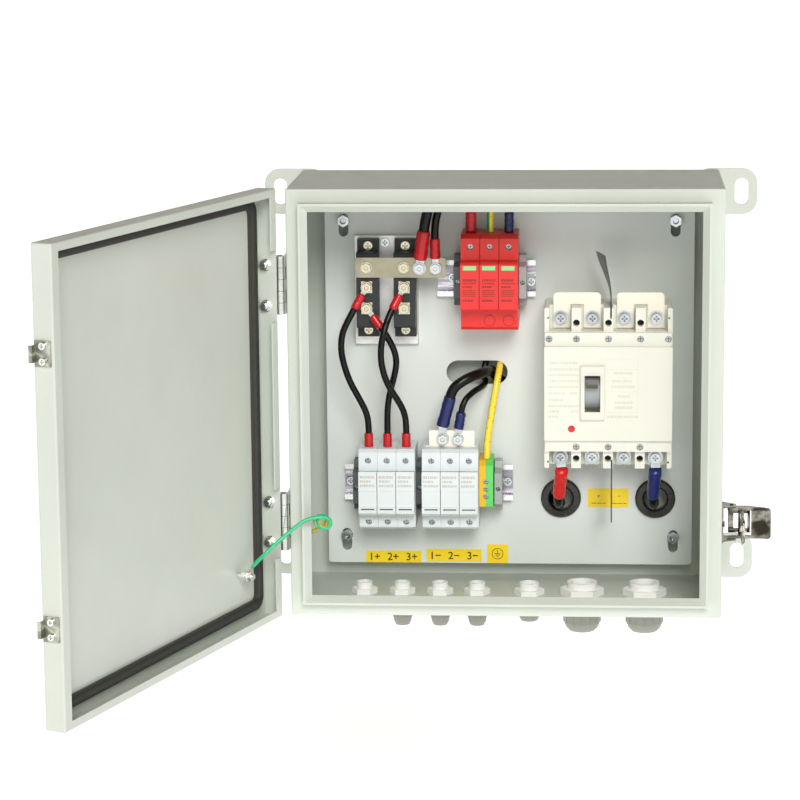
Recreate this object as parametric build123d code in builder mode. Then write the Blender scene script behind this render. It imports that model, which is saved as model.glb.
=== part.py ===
from build123d import *
import math
import os

# A wall-mounted DC combiner box with its door open.
# +Z is up, -Y faces the person who opens the door and Y = 0 is the wall.
# X = 0 and Z = 0 are the middle of the cabinet. All sizes are in millimetres.

os.makedirs("parts", exist_ok=True)

# Cabinet
box_size = 400
box_depth = 160
sheet = 1.5
fold_radius = 1.5
bracket_sheet = 2.5
half = box_size / 2
back_y = -bracket_sheet
front_y = back_y - box_depth
rim_inset = 12.3
rim_height = 11.5
lip_depth = 6.0
lip_sheet = 2.1

# Wall brackets
bracket_x = 207
bracket_z = 179
bracket_width = 59
bracket_height = 44
slot_x = 221.5
slot_length = 25
slot_width = 13

# Mounting plate
plate_front = -29.5
plate_sheet = 2
plate_width = 353
plate_height = 364
stud_x = 158.5
stud_z = 154.3
hole_x = -31
hole_z = 7.25
grommet_places = [(50, -116), (141, -116)]
grommet_seat = 17.0

# Door, hinges and latch
door_open = 110
hinge_x = -half - 5.5
hinge_y = front_y - 1
hinge_z = 111
hinge_half = 27
door_lift = 1
knuckle_radius = 5
pin_radius = 2
door_depth = 19
door_near = 5.5
door_far = door_near + box_size
door_half = half + 0.5
return_lip = 11
end_lip = 7.5
seal_hinge = 15
seal_free = 12
seal_top = 8
seal_bottom = 11
seal_width = 9.2
seal_height = 6.5
latch_z = 113
latch_x = half + 9.5
latch_y = -142

# Devices on the rails, measured out from the plate's front
rail_height = 7.5
rail_half = 17.5
upper_rail_z = 99.65
lower_rail_z = -100
pole_pitch = 18
spd_left = -43.9
fuse_groups = [-142.5, -82.0]
shoulder = 50
fuse_top = -59
fuse_bottom = -138
carrier_top = -80.4
carrier_bottom = -122.2
carrier_pivot_z = -121.3
carrier_pivot_out = 47.5

# Diode block
module_x = [-134.0, -98.4]
module_z = 91.4
terminal_z = [114.2, 95.0, 74.8]
pad_out = 35
busbar_sheet = 2.5

# Circuit breaker
breaker_left = 35
breaker_right = 155
breaker_bottom = -74
breaker_top = 79.5
breaker_poles = [50, 80, 110, 140]
breaker_ribs = [65, 95, 125]
terminal_floor = 40
handle_x = 80.2
handle_angle = 24

# Cables: outer diameters
string_wire = 6.2
main_cable = 10
spd_feed = 7.5
thin_wire = 6
earth_wire_size = 6.4
lead_size = 3.6

# Cable glands: middle, then radius of thread, nut across flats, dome radius and length
gland_y = -82.5
small_gland = (7.6, 19.5, 9.2, 23)
medium_gland = (9.3, 23, 11.0, 18)
large_gland = (14.2, 34, 17.2, 27)
glands = [(-101.2, small_gland), (-64.9, small_gland), (-29.4, small_gland)]
glands += [(20.5, medium_gland), (71, large_gland), (130.5, large_gland)]
blank_x = -137.6

seat_gap = 0.05
recess_depth = 1.4
out_dir = (0, -1, 0)


def out(height):
    """The Y value at a height in front of the mounting plate."""
    return plate_front - height


def block(x, y, z, mode=Mode.ADD):
    """A box between two values on each axis."""
    with Locations((sum(x) / 2, sum(y) / 2, sum(z) / 2)):
        Box(abs(x[1] - x[0]), abs(y[1] - y[0]), abs(z[1] - z[0]), mode=mode)


def plate_block(x, height, z, mode=Mode.ADD):
    """A box given by its heights in front of the mounting plate."""
    block(x, (out(height[1]), out(height[0])), z, mode)


def rod(start, axis, radius, length, mode=Mode.ADD):
    """A cylinder that starts at a point and runs along an axis."""
    with Locations(Plane(origin=start, z_dir=axis)):
        Cylinder(radius, length, align=(Align.CENTER, Align.CENTER, Align.MIN), mode=mode)


def hexagon(start, axis, across_flats, length, mode=Mode.ADD):
    """A hexagonal bar that starts at a point and runs along an axis."""
    with BuildSketch(Plane(origin=start, z_dir=axis)) as profile:
        RegularPolygon(across_flats / 2, 6, major_radius=False)
    extrude(profile.sketch, amount=length, mode=mode)


def side_prism(x, points, mode=Mode.ADD):
    """A shape with a side view given as (height in front of the plate, Z)."""
    with BuildSketch(Plane.YZ.offset(x[0])) as profile:
        Polygon(*[(out(height), z) for height, z in points], align=None)
    extrude(profile.sketch, amount=x[1] - x[0], mode=mode)


def turned(middle, points, mode=Mode.ADD):
    """A round shape about a vertical line, from (radius, Z) points."""
    x, y = middle
    with BuildSketch(Plane(origin=(x, y, 0), x_dir=(1, 0, 0), z_dir=out_dir)) as profile:
        Polygon(*points, align=None)
    revolve(profile.sketch, axis=Axis((x, y, 0), (0, 0, 1)), mode=mode)


def nut(start, axis, across_flats, height, bore):
    """A hexagonal nut with a plain bore."""
    hexagon(start, axis, across_flats, height)
    rod(start, axis, bore, height, Mode.SUBTRACT)


def washer(start, axis, radius, thickness, bore):
    """A flat washer."""
    rod(start, axis, radius, thickness)
    rod(start, axis, bore, thickness, Mode.SUBTRACT)


def pan_screw(start, radius, shank_radius, shank_length, height=2.4, axis=out_dir):
    """A cross-recessed screw whose head stands on the start point."""
    out_axis = Vector(*axis)
    rod(start, axis, radius, height)
    rod(start, -out_axis, shank_radius, shank_length)
    top = Plane(origin=Vector(*start) + out_axis * height, z_dir=axis)
    slot = radius * 0.36
    with Locations(top):
        Box(radius * 1.25, slot, 2 * recess_depth, mode=Mode.SUBTRACT)
        Box(slot, radius * 1.25, 2 * recess_depth, mode=Mode.SUBTRACT)


def hex_bolt(x, height, z, across_flats, shank_radius, shank_length):
    """A bolt head on its washer, with a shank that goes through the lug below."""
    washer((x, out(height + seat_gap), z), out_dir, across_flats * 0.68, 1, shank_radius + 0.1)
    hexagon((x, out(height + 1.1), z), out_dir, across_flats, 3.6)
    rod((x, out(height - shank_length), z), out_dir, shank_radius, shank_length + 1.1 + 1)
    rod((x, out(height + 3.9), z), out_dir, across_flats * 0.27, 0.8, Mode.SUBTRACT)


def clamp_screw(x, height, z, shank_length):
    """A pan head screw on a spring washer and a wide flat washer."""
    washer((x, out(height + seat_gap), z), out_dir, 7, 1, 3.1)
    washer((x, out(height + 1.1), z), out_dir, 5.4, 1.4, 3.1)
    pan_screw((x, out(height + 2.55), z), 4.5, 3, shank_length + 2.5, 3)


def arc_radii(points):
    """The largest radius that each corner of a route leaves room for."""
    radii = []
    for before, here, after in zip(points, points[1:], points[2:]):
        first = Vector(*here) - Vector(*before)
        second = Vector(*after) - Vector(*here)
        turn = math.radians(first.get_angle(second))
        radii.append(0.45 * min(first.length, second.length) / math.tan(turn / 2))
    return radii


def tube(points, diameter):
    """A cable along a route of straight runs joined by tangent arcs."""
    with BuildLine() as path:
        FilletPolyline(*points, radius=arc_radii(points))
    route = path.wires()[0]
    with BuildSketch(Plane(origin=route @ 0, z_dir=route % 0)) as section:
        Circle(diameter / 2)
    sweep(section.sketch, path=route)
    turns = [round(radius) for radius in arc_radii(points)]
    print(f"route length {route.length:.0f}, smallest radius {min(turns)}")


def on_plate(points):
    """Points given as (X, height in front of the plate, Z) in the part's own axes."""
    return [(x, out(height), z) for x, height, z in points]


# ---------------------------------------------------------------- cabinet
rim_outside = half - rim_inset
rim_inside = rim_outside - sheet
front_plane = Plane.XZ.offset(-front_y)

with BuildPart() as cabinet_shell:
    block((-half, half), (front_y, back_y), (-half, half))
    fillet(cabinet_shell.edges(), radius=fold_radius)
    inner = (-half + sheet, half - sheet)
    block(inner, (front_y + sheet, back_y - sheet), inner, Mode.SUBTRACT)
    opening = (-rim_inside, rim_inside)
    block(opening, (front_y - 1, front_y + sheet + 1), opening, Mode.SUBTRACT)
    with BuildSketch(front_plane):
        Rectangle(2 * rim_outside, 2 * rim_outside)
        Rectangle(2 * rim_inside, 2 * rim_inside, mode=Mode.SUBTRACT)
    extrude(amount=rim_height)
    # The rim's edge is folded back inwards, as a lip that slopes into the opening.
    for wide, extra, mode in [(rim_outside, 0, Mode.ADD), (rim_outside - lip_sheet, 1, Mode.SUBTRACT)]:
        with BuildSketch(front_plane.offset(rim_height + extra)):
            Rectangle(2 * (wide + extra), 2 * (wide + extra))
        with BuildSketch(front_plane.offset(rim_height - lip_depth - extra)):
            Rectangle(2 * (wide - lip_depth - extra), 2 * (wide - lip_depth - extra))
        loft(mode=mode)
    for x, (thread, *_) in glands + [(blank_x, small_gland)]:
        rod((x, gland_y, -half - 1), (0, 0, 1), thread + 0.1, sheet + 2, Mode.SUBTRACT)
cabinet_shell.part.label = "cabinet_shell"
export_step(cabinet_shell.part, "parts/cabinet_shell.step")

with BuildPart() as wall_brackets:
    for side in (-1, 1):
        for level in (-1, 1):
            with BuildSketch(Plane.XZ):
                with Locations((side * bracket_x, level * bracket_z)):
                    RectangleRounded(bracket_width, bracket_height, 14)
                with Locations((side * slot_x, level * bracket_z)):
                    SlotOverall(slot_length, slot_width, rotation=90, mode=Mode.SUBTRACT)
            extrude(amount=bracket_sheet)
wall_brackets.part.label = "wall_brackets"
export_step(wall_brackets.part, "parts/wall_brackets.step")

rail_screws = [(-54, upper_rail_z), (21.3, upper_rail_z - 4), (-154, lower_rail_z), (-1.5, lower_rail_z)]
base_screws = [(-118.3, 134.0), (-118.3, 42.4)]
stud_places = [(side * stud_x, level * stud_z) for side in (-1, 1) for level in (-1, 1)]

with BuildPart() as mounting_plate:
    with BuildSketch(Plane.XZ.offset(-plate_front - plate_sheet)):
        RectangleRounded(plate_width, plate_height, 3)
        with Locations(*[(x, z - 4.5) for x, z in stud_places]):
            SlotOverall(22, 9.4, rotation=90, mode=Mode.SUBTRACT)
        with Locations((hole_x, hole_z)):
            SlotOverall(59, 23, mode=Mode.SUBTRACT)
        with Locations(*grommet_places):
            Circle(grommet_seat + 0.1, mode=Mode.SUBTRACT)
        with Locations(*rail_screws, *base_screws):
            Circle(2.2, mode=Mode.SUBTRACT)
    extrude(amount=plate_sheet)
mounting_plate.part.label = "mounting_plate"
export_step(mounting_plate.part, "parts/mounting_plate.step")

earth_stud = (-half + sheet, -140, -125)
cabinet_lug = -half + sheet + 8.7

with BuildPart() as studs_and_nuts:
    for x, z in stud_places:
        rod((x, back_y - sheet, z), out_dir, 3, 30)
        nut((x, plate_front + plate_sheet + 5, z), out_dir, 10, 5, 3.05)
        washer((x, plate_front, z), out_dir, 5.6, 1.2, 3.2)
        nut((x, plate_front - 1.2 - seat_gap, z), out_dir, 10, 5, 3.05)
    rod(earth_stud, (1, 0, 0), 3, 16)
    x, y, z = earth_stud
    nut((x + 4, y, z), (1, 0, 0), 10, 4.5, 3.05)
studs_and_nuts.part.label = "studs_and_nuts"
export_step(studs_and_nuts.part, "parts/studs_and_nuts.step")

with BuildPart() as plate_screws:
    for x, z in rail_screws:
        pan_screw((x, out(1), z), 4, 2.1, 6)
    for x, z in base_screws:
        pan_screw((x, out(6), z), 4, 2.1, 11)
plate_screws.part.label = "plate_screws"
export_step(plate_screws.part, "parts/plate_screws.step")

with BuildPart() as grommets:
    for x, z in grommet_places:
        with BuildSketch(Plane(origin=(x, plate_front, z), x_dir=(1, 0, 0), z_dir=(0, 0, 1))) as ring:
            Polygon(
                (11.25, -3.2), (12.6, -4.6), (17.6, -4.2), (19.3, -2.2), (19.3, 0), (grommet_seat, 0),
                (grommet_seat, plate_sheet), (18.6, plate_sheet), (18.6, 5), (12, 5.6), (11.25, 4.6),
                align=None,
            )
        revolve(ring.sketch, axis=Axis((x, plate_front, z), (0, 1, 0)))
grommets.part.label = "grommets"
export_step(grommets.part, "parts/grommets.step")

# ---------------------------------------------------------------- rails and their clamps
with BuildPart() as din_rails:
    for left, right, z in [(-68.3, 25.6, upper_rail_z), (-159.5, 3.6, lower_rail_z)]:
        plate_block((left, right), (0, 1), (z - 13.5, z + 13.5))
        for side in (-1, 1):
            edge = z + side * 13.5
            plate_block((left, right), (0, rail_height), sorted((edge, edge - side)))
            lip_z = sorted((edge - side, z + side * rail_half))
            plate_block((left, right), (rail_height - 1, rail_height), lip_z)
        with Locations(*[(right - 9 - 25 * step, out(0.5), z) for step in range(int((right - left) / 25))]):
            Box(15, 3, 6.2, mode=Mode.SUBTRACT)
    for x, z in rail_screws:
        rod((x, out(-1), z), out_dir, 2.2, 3, Mode.SUBTRACT)
din_rails.part.label = "din_rails"
export_step(din_rails.part, "parts/din_rails.step")

upper_clamps = [(-51.6, -44.3), (10.5, 17.3)]
lower_clamps = [(-149.4, -142.8), (-88.2, -82.3), (-13.2, -6.2)]

with BuildPart() as end_brackets:
    for clamps, z in [(upper_clamps, upper_rail_z), (lower_clamps, lower_rail_z)]:
        for x in clamps:
            side_prism(
                x,
                [(7.6, z - 24), (20, z - 24), (22, z - 18), (36, z - 15), (36, z + 15), (22, z + 18),
                 (20, z + 24), (4, z + 24), (4, z + 17.8), (7.6, z + 17.8)],
            )
            middle = sum(x) / 2
            rod((middle, out(26), z), out_dir, 2.3, 12, Mode.SUBTRACT)
end_brackets.part.label = "end_brackets"
export_step(end_brackets.part, "parts/end_brackets.step")

# ---------------------------------------------------------------- diode block
with BuildPart() as diode_base:
    plate_block((-148, -87), (0, 6), (35.2, 141.0))
    chamfer(diode_base.faces().sort_by(Axis.Y)[0].edges(), 0.6)
    for x, z in base_screws:
        rod((x, out(-1), z), out_dir, 2.2, 9, Mode.SUBTRACT)
diode_base.part.label = "diode_base"
export_step(diode_base.part, "parts/diode_base.step")

with BuildPart() as diode_modules:
    for x in module_x:
        sides = (x - 10.15, x + 10.15)
        z = module_z
        side_prism(
            sides,
            [(6, z - 46.7), (17, z - 46.7), (17, z - 36), (31.5, z - 36), (33, z - 34.5),
             (33, z + 34.5), (31.5, z + 36), (17, z + 36), (17, z + 46.7), (6, z + 46.7)],
        )
        for end in (-1, 1):
            rod((x, out(12), z + end * 40.6), out_dir, 4.6, 6, Mode.SUBTRACT)
            rod((x, out(6), z + end * 40.6), out_dir, 2.6, 12, Mode.SUBTRACT)
diode_modules.part.label = "diode_modules"
export_step(diode_modules.part, "parts/diode_modules.step")

busbar_bolts = [(module_x[0], terminal_z[0]), (module_x[1], terminal_z[0]), (-83.5, 113.6), (-68.3, 113.6)]

with BuildPart() as diode_busbar:
    plate_block((-144.6, -58.8), (pad_out, pad_out + busbar_sheet), (104.6, 123.6))
    chamfer(diode_busbar.edges().filter_by(Axis.Y), 0.8)
    for x, z in busbar_bolts:
        rod((x, out(pad_out - 1), z), out_dir, 2.6, busbar_sheet + 2, Mode.SUBTRACT)
diode_busbar.part.label = "diode_busbar"
export_step(diode_busbar.part, "parts/diode_busbar.step")

comb_left = -75.6
comb_right = -32.3
comb_bolts = [(-62.5, -51.3), (-47.9, -51.6)]
comb_height = (32, 34.5)
fuse_poles = [group + pole_pitch * (index + 0.5) for group in fuse_groups for index in range(3)]

with BuildPart() as comb_busbar:
    plate_block((comb_left, comb_right), comb_height, (-62.4 + 4, -43.3))
    chamfer(comb_busbar.edges().filter_by(Axis.Y), 0.8)
    for x in fuse_poles[3:]:
        plate_block((x - 2.6, x + 2.6), comb_height, (-70, -58.4))
        plate_block((x - 6.2, x + 6.2), comb_height, (-59, -58.3))
    for x, z in comb_bolts:
        rod((x, out(comb_height[0] - 1), z), out_dir, 2.6, 5, Mode.SUBTRACT)
comb_busbar.part.label = "comb_busbar"
export_step(comb_busbar.part, "parts/comb_busbar.step")

lug_sheet = 1.5
lug_seat = pad_out + lug_sheet
bar_seat = pad_out + busbar_sheet

with BuildPart() as terminal_bolts:
    for x in module_x:
        for z in terminal_z:
            plate_block((x - 5.2, x + 5.2), (33, pad_out), (z - 5.6, z + 5.6))
        for z in terminal_z[1:]:
            seat = pad_out if (x, z) == (module_x[1], terminal_z[2]) else lug_seat
            hex_bolt(x, seat, z, 8, 2.5, seat - pad_out - 0.1)
        for end in (-1, 1):
            pan_screw((x, out(12), module_z + end * 40.6), 4.3, 2.5, 5.9, 3.4)
    for x, z in busbar_bolts[:2]:
        hex_bolt(x, bar_seat, z, 8, 2.5, busbar_sheet - 0.1)
    for x, z in busbar_bolts[2:]:
        hex_bolt(x, bar_seat + lug_sheet, z, 8, 2.5, busbar_sheet + lug_sheet)
    for x, z in comb_bolts:
        hex_bolt(x, comb_height[1] + lug_sheet, z, 8, 2.5, 4)
terminal_bolts.part.label = "terminal_bolts"
export_step(terminal_bolts.part, "parts/terminal_bolts.step")

# ---------------------------------------------------------------- surge protector
spd_right = spd_left + 3 * pole_pitch
spd_poles = [spd_left + pole_pitch * (index + 0.5) for index in range(3)]
spd_low, spd_step_low, spd_step_high, spd_high = 56.5, 77.2, 122.8, 147
spd_seat = 38

with BuildPart() as spd_base:
    side_prism(
        (spd_left, spd_right),
        [(4, spd_low), (47, spd_low), (shoulder, spd_low + 3), (shoulder, spd_step_low),
         (spd_seat, spd_step_low), (spd_seat, spd_step_high), (shoulder, spd_step_high),
         (shoulder, spd_high - 3.6), (44, spd_high), (4, spd_high), (4, 117.6), (7.6, 117.6),
         (7.6, 81.7), (4, 81.7)],
    )
    for x in spd_poles:
        rod((x, out(shoulder - 9), 135.3), out_dir, 2.9, 10, Mode.SUBTRACT)
    for x in spd_poles[1:]:
        plate_block((x - pole_pitch / 2 - 0.3, x - pole_pitch / 2 + 0.3), (43, 51), (124, 148), Mode.SUBTRACT)
        rod((x, out(shoulder), 65.7), out_dir, 5, 0.6)
spd_base.part.label = "spd_base"
export_step(spd_base.part, "parts/spd_base.step")

for index, x in enumerate(spd_poles, 1):
    with BuildPart() as spd_cartridge:
        width = pole_pitch / 2 - 0.25
        side_prism(
            (x - width, x + width),
            [(spd_seat + 0.3, 77.6), (66.5, 77.6), (68, 79.1),
             (68, 120.9), (66.5, 122.4), (spd_seat + 0.3, 122.4)],
        )
        plate_block((x - 6.4, x + 6.4), (67.4, 69), (115.6, 120.1), Mode.SUBTRACT)
    spd_cartridge.part.label = f"spd_cartridge_{index}"
    export_step(spd_cartridge.part, f"parts/spd_cartridge_{index}.step")

# ---------------------------------------------------------------- fuse holders
pocket_half = 7.1
tongue_half = 6.8
fuse_out = 39.3
fuse_radius = 5

with BuildPart() as fuse_bases:
    for x in fuse_poles:
        sides = (x - pole_pitch / 2 + 0.1, x + pole_pitch / 2 - 0.1)
        side_prism(
            sides,
            [(4, fuse_bottom), (42, fuse_bottom), (44, fuse_bottom + 2), (44, -80.0), (shoulder, -80.0),
             (shoulder, fuse_top - 3), (47, fuse_top), (4, fuse_top), (4, -82), (7.6, -82), (7.6, -118),
             (4, -118)],
        )
        plate_block((x - pocket_half, x + pocket_half), (32, 45), (-122.0, -80.1), Mode.SUBTRACT)
        rod((x, out(shoulder - 9), -70), out_dir, 3, 10, Mode.SUBTRACT)
        rod((x, out(44 - 9), -131), out_dir, 3, 10, Mode.SUBTRACT)
        through = (comb_height[0] - 0.2, comb_height[1] + 0.2)
        plate_block((x - 2.8, x + 2.8), through, (-71, -58), Mode.SUBTRACT)
fuse_bases.part.label = "fuse_bases"
export_step(fuse_bases.part, "parts/fuse_bases.step")

for index, x in enumerate(fuse_poles, 1):
    with BuildPart() as fuse_carrier:
        cap = pole_pitch / 2 - 0.3
        side_prism(
            (x - cap, x + cap),
            [(45, carrier_bottom), (56, carrier_bottom), (58.5, carrier_bottom + 2.5), (58.5, -113.9),
             (57.4, -113.4), (57.4, -98.6), (58, -98.2), (58, carrier_top + 1.2), (56.8, carrier_top),
             (45, carrier_top)],
        )
        plate_block((x - tongue_half, x + tongue_half), (33, 45), (-120.4, -83.2))
        rod((x, out(fuse_out), -121), (0, 0, 1), fuse_radius + 0.1, 39, Mode.SUBTRACT)
        plate_block((x - 6.3, x + 6.3), (57.2, 60), (-116.4, -115.2), Mode.SUBTRACT)
        pivot = (x - pole_pitch, out(carrier_pivot_out), carrier_pivot_z)
        rod(pivot, (1, 0, 0), 0.6, 2 * pole_pitch, Mode.SUBTRACT)
    fuse_carrier.part.label = f"fuse_carrier_{index}"
    export_step(fuse_carrier.part, f"parts/fuse_carrier_{index}.step")
    with BuildPart() as fuse_link:
        rod((x, out(fuse_out), -120.9), (0, 0, 1), fuse_radius, 9)
        rod((x, out(fuse_out), -111.9), (0, 0, 1), fuse_radius - 0.3, 20)
        rod((x, out(fuse_out), -91.9), (0, 0, 1), fuse_radius, 9)
    fuse_link.part.label = f"fuse_link_{index}"
    export_step(fuse_link.part, f"parts/fuse_link_{index}.step")

with BuildPart() as earth_terminal:
    for x in [(-27.7, -21.2), (-21.1, -14.2)]:
        side_prism(
            x,
            [(4, -121), (20, -121), (42, -116), (42, -76), (36, -71.8), (4, -71.8), (4, -82), (7.6, -82),
             (7.6, -118), (4, -118)],
        )
    for z in (-91.6, -98.9, -106.1):
        rod((-21.15, out(36), z), out_dir, 2.6, 8, Mode.SUBTRACT)
earth_terminal.part.label = "earth_terminal"
export_step(earth_terminal.part, "parts/earth_terminal.step")

with BuildPart() as terminal_screws:
    for x in spd_poles:
        pan_screw((x, out(shoulder - 8.5), 135.3), 2.7, 1.5, 0.4, 3)
    for x in fuse_poles:
        pan_screw((x, out(shoulder - 8.5), -70), 2.8, 1.5, 0.4, 4)
        pan_screw((x, out(44 - 8.5), -131), 2.8, 1.5, 0.4, 4)
    for z in (-91.6, -98.9, -106.1):
        pan_screw((-21.15, out(36.6), z), 2.4, 1.2, 0.4, 3)
    for clamps, z in [(upper_clamps, upper_rail_z), (lower_clamps, lower_rail_z)]:
        for x in clamps:
            pan_screw((sum(x) / 2, out(27), z), 2.1, 1.2, 0.8, 3)
terminal_screws.part.label = "terminal_screws"
export_step(terminal_screws.part, "parts/terminal_screws.step")

# ---------------------------------------------------------------- circuit breaker
breaker_sides = (breaker_left, breaker_right)
breaker_ends = (breaker_bottom, breaker_top)
pocket_width = 10.4
pocket_z = [(breaker_bottom - 1, -57), (57, breaker_top + 1)]
cover_screws = [(39.4, 50.6), (151.0, 50.6)] + [(x, z) for x in breaker_ribs for z in (50.6, -52.6)]
barrier_x = [97.3, 98.5]
barrier_half = 0.6

with BuildPart() as breaker_base:
    plate_block(breaker_sides, (0, terminal_floor - 0.1), breaker_ends)
    chamfer(breaker_base.edges().filter_by(Axis.Y), 1)
    plate_block((barrier_x[0] - 0.8, barrier_x[0] + 0.8), (20, 41), (69, 80), Mode.SUBTRACT)
    plate_block((barrier_x[1] - 0.8, barrier_x[1] + 0.8), (20, 41), (-75, -66), Mode.SUBTRACT)
breaker_base.part.label = "breaker_base"
export_step(breaker_base.part, "parts/breaker_base.step")

with BuildPart() as breaker_cover:
    plate_block(breaker_sides, (terminal_floor, 60), breaker_ends)
    plate_block((breaker_left + 0.6, breaker_right - 0.6), (59, 64), (-57.5, 56.5))
    plate_block(breaker_sides, (60, 68), (-46, 43.6))
    plate_block((68.9, 91.6), (68, 72), (-25.8, 26))
    chamfer(breaker_cover.edges().filter_by(Axis.Y).group_by(Edge.length)[-1], 1)
    chamfer(breaker_cover.faces().filter_by(Axis.Y).sort_by(Axis.Y)[0].edges(), 0.8)
    for x in breaker_poles:
        for z in pocket_z:
            plate_block((x - pocket_width, x + pocket_width), (terminal_floor - 1, 65), z, Mode.SUBTRACT)
    for x in breaker_ribs:
        for z in (65.2, -64.7):
            rod((x, out(terminal_floor + 6), z), out_dir, 3.2, 20, Mode.SUBTRACT)
    for x, z in cover_screws:
        rod((x, out(58), z), out_dir, 3.2, 8, Mode.SUBTRACT)
    plate_block((72.2, 88.2), (44, 70), (-24.5, 24.5), Mode.SUBTRACT)
    plate_block((72.9, 87.6), (69, 73), (-17.8, 16.9), Mode.SUBTRACT)
    rod((60.6, out(62), -34.6), out_dir, 3.3, 8, Mode.SUBTRACT)
    corners = [(x, z) for x in (breaker_left + 3.4, breaker_right - 3.4) for z in (70, -68)]
    for x, z in corners:
        rod((x, out(55), z), out_dir, 1, 6, Mode.SUBTRACT)
    plate_block((barrier_x[0] - 0.8, barrier_x[0] + 0.8), (39, 61), (69, 80), Mode.SUBTRACT)
    plate_block((barrier_x[1] - 0.8, barrier_x[1] + 0.8), (39, 61), (-75, -66), Mode.SUBTRACT)
breaker_cover.part.label = "breaker_cover"
export_step(breaker_cover.part, "parts/breaker_cover.step")

breaker_pad = 2.5
pad_top = terminal_floor + breaker_pad
breaker_lug = 2
upper_bolt_z = 67.3
lower_bolt_z = -66.2
wired_poles = (breaker_poles[0], breaker_poles[3])

with BuildPart() as breaker_terminals:
    for left, right in [(43.2, 87.8), (103.0, 147.6)]:
        plate_block((left, right), (terminal_floor, pad_top), (58, 91.5))
        middle = (left + right) / 2
        plate_block((middle - 6.3, middle + 6.3), (39, 44), (57, 80.2), Mode.SUBTRACT)
        fillet(breaker_terminals.edges().filter_by(Axis.Y).group_by(Axis.Z)[-1].sort_by(Axis.X)[-1:], 4)
        upright = breaker_terminals.edges().filter_by(Axis.Y)
        corner = upright.filter_by_position(Axis.X, left - 0.1, left + 0.1)
        fillet(corner.sort_by(Axis.Z)[-1:], 4)
    for x in breaker_poles:
        plate_block((x - 7, x + 7), (terminal_floor, pad_top), (-73.9, -58))
        for z in (upper_bolt_z, lower_bolt_z):
            rod((x, out(terminal_floor - 1), z), out_dir, 3.1, 5, Mode.SUBTRACT)
breaker_terminals.part.label = "breaker_terminals"
export_step(breaker_terminals.part, "parts/breaker_terminals.step")

with BuildPart() as breaker_screws:
    for x, z in cover_screws:
        pan_screw((x, out(58.1), z), 3, 1.5, 0.05, 3.2)
    for x in breaker_poles:
        clamp_screw(x, pad_top, upper_bolt_z, breaker_pad - 0.1)
        lifted = breaker_lug if x in wired_poles else 0
        clamp_screw(x, pad_top + lifted, lower_bolt_z, breaker_pad + lifted - 0.1)
breaker_screws.part.label = "breaker_screws"
export_step(breaker_screws.part, "parts/breaker_screws.step")

# The upper barrier is twisted: each section is its height, X at its back edge and X at its front edge.
barrier_sections = [(86, 97.3, 97.3), (98, 94.2, 96.6), (112, 88.8, 94.2), (128, 83.4, 91.2)]
barrier_heights = (22, 54)

with BuildPart() as phase_barriers:
    plate_block((barrier_x[0] - barrier_half, barrier_x[0] + barrier_half), barrier_heights, (70, 86))
    for z, back_x, front_x in barrier_sections:
        back_point = Vector(back_x, out(barrier_heights[0]))
        front_point = Vector(front_x, out(barrier_heights[1]))
        across = (front_point - back_point).normalized() * barrier_half
        side = Vector(-across.Y, across.X)
        with BuildSketch(Plane.XY.offset(z)):
            Polygon(back_point + side, front_point + side, front_point - side, back_point - side, align=None)
    loft()
    lower = (barrier_x[1] - barrier_half, barrier_x[1] + barrier_half)
    plate_block(lower, (22, 58), (-127, -66.5))
phase_barriers.part.label = "phase_barriers"
export_step(phase_barriers.part, "parts/phase_barriers.step")

handle_pivot = (handle_x, out(50), -0.5)
shield_radius = 19.2
shield_sweep = 75
lean = math.radians(handle_angle)
handle_plane = Plane(origin=handle_pivot, x_dir=(0, -math.cos(lean), math.sin(lean)), z_dir=(-1, 0, 0))

with BuildPart() as breaker_handle:
    # The handle and the curved shield behind it turn about one pivot in the cover.
    with BuildSketch(handle_plane.offset(-7)) as shield:
        with BuildLine():
            outer_arc = CenterArc((0, 0), shield_radius, -shield_sweep, 2 * shield_sweep)
            inner_arc = CenterArc((0, 0), shield_radius - 1.4, -shield_sweep, 2 * shield_sweep)
            Line(outer_arc @ 0, inner_arc @ 0)
            Line(outer_arc @ 1, inner_arc @ 1)
        make_face()
    extrude(shield.sketch, amount=14)
    with BuildSketch(handle_plane.offset(-5.4)) as grip:
        Polygon(
            (-1.2, -3), (18.4, -3), (29.5, -4.2), (31, -2.4), (31, 2.4), (29.5, 4.2), (18.4, 3), (-1.2, 3),
            align=None,
        )
    extrude(grip.sketch, amount=10.8)
breaker_handle.part.label = "breaker_handle"
export_step(breaker_handle.part, "parts/breaker_handle.step")

with BuildPart() as trip_button:
    rod((60.6, out(64.5), -34.6), out_dir, 3, 4.3)
    chamfer(trip_button.faces().sort_by(Axis.Y)[0].edges(), 0.5)
trip_button.part.label = "trip_button"
export_step(trip_button.part, "parts/trip_button.step")

# ---------------------------------------------------------------- cable glands
inside_floor = -half + sheet


def gland_sizes(x, size):
    """The heights and radii of one gland, from its thread outwards."""
    thread, flats, dome, length = size
    nut_height = 5 if thread < 12 else 6.5
    bore = thread * 0.56
    return thread, flats, dome, length, nut_height, bore


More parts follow.
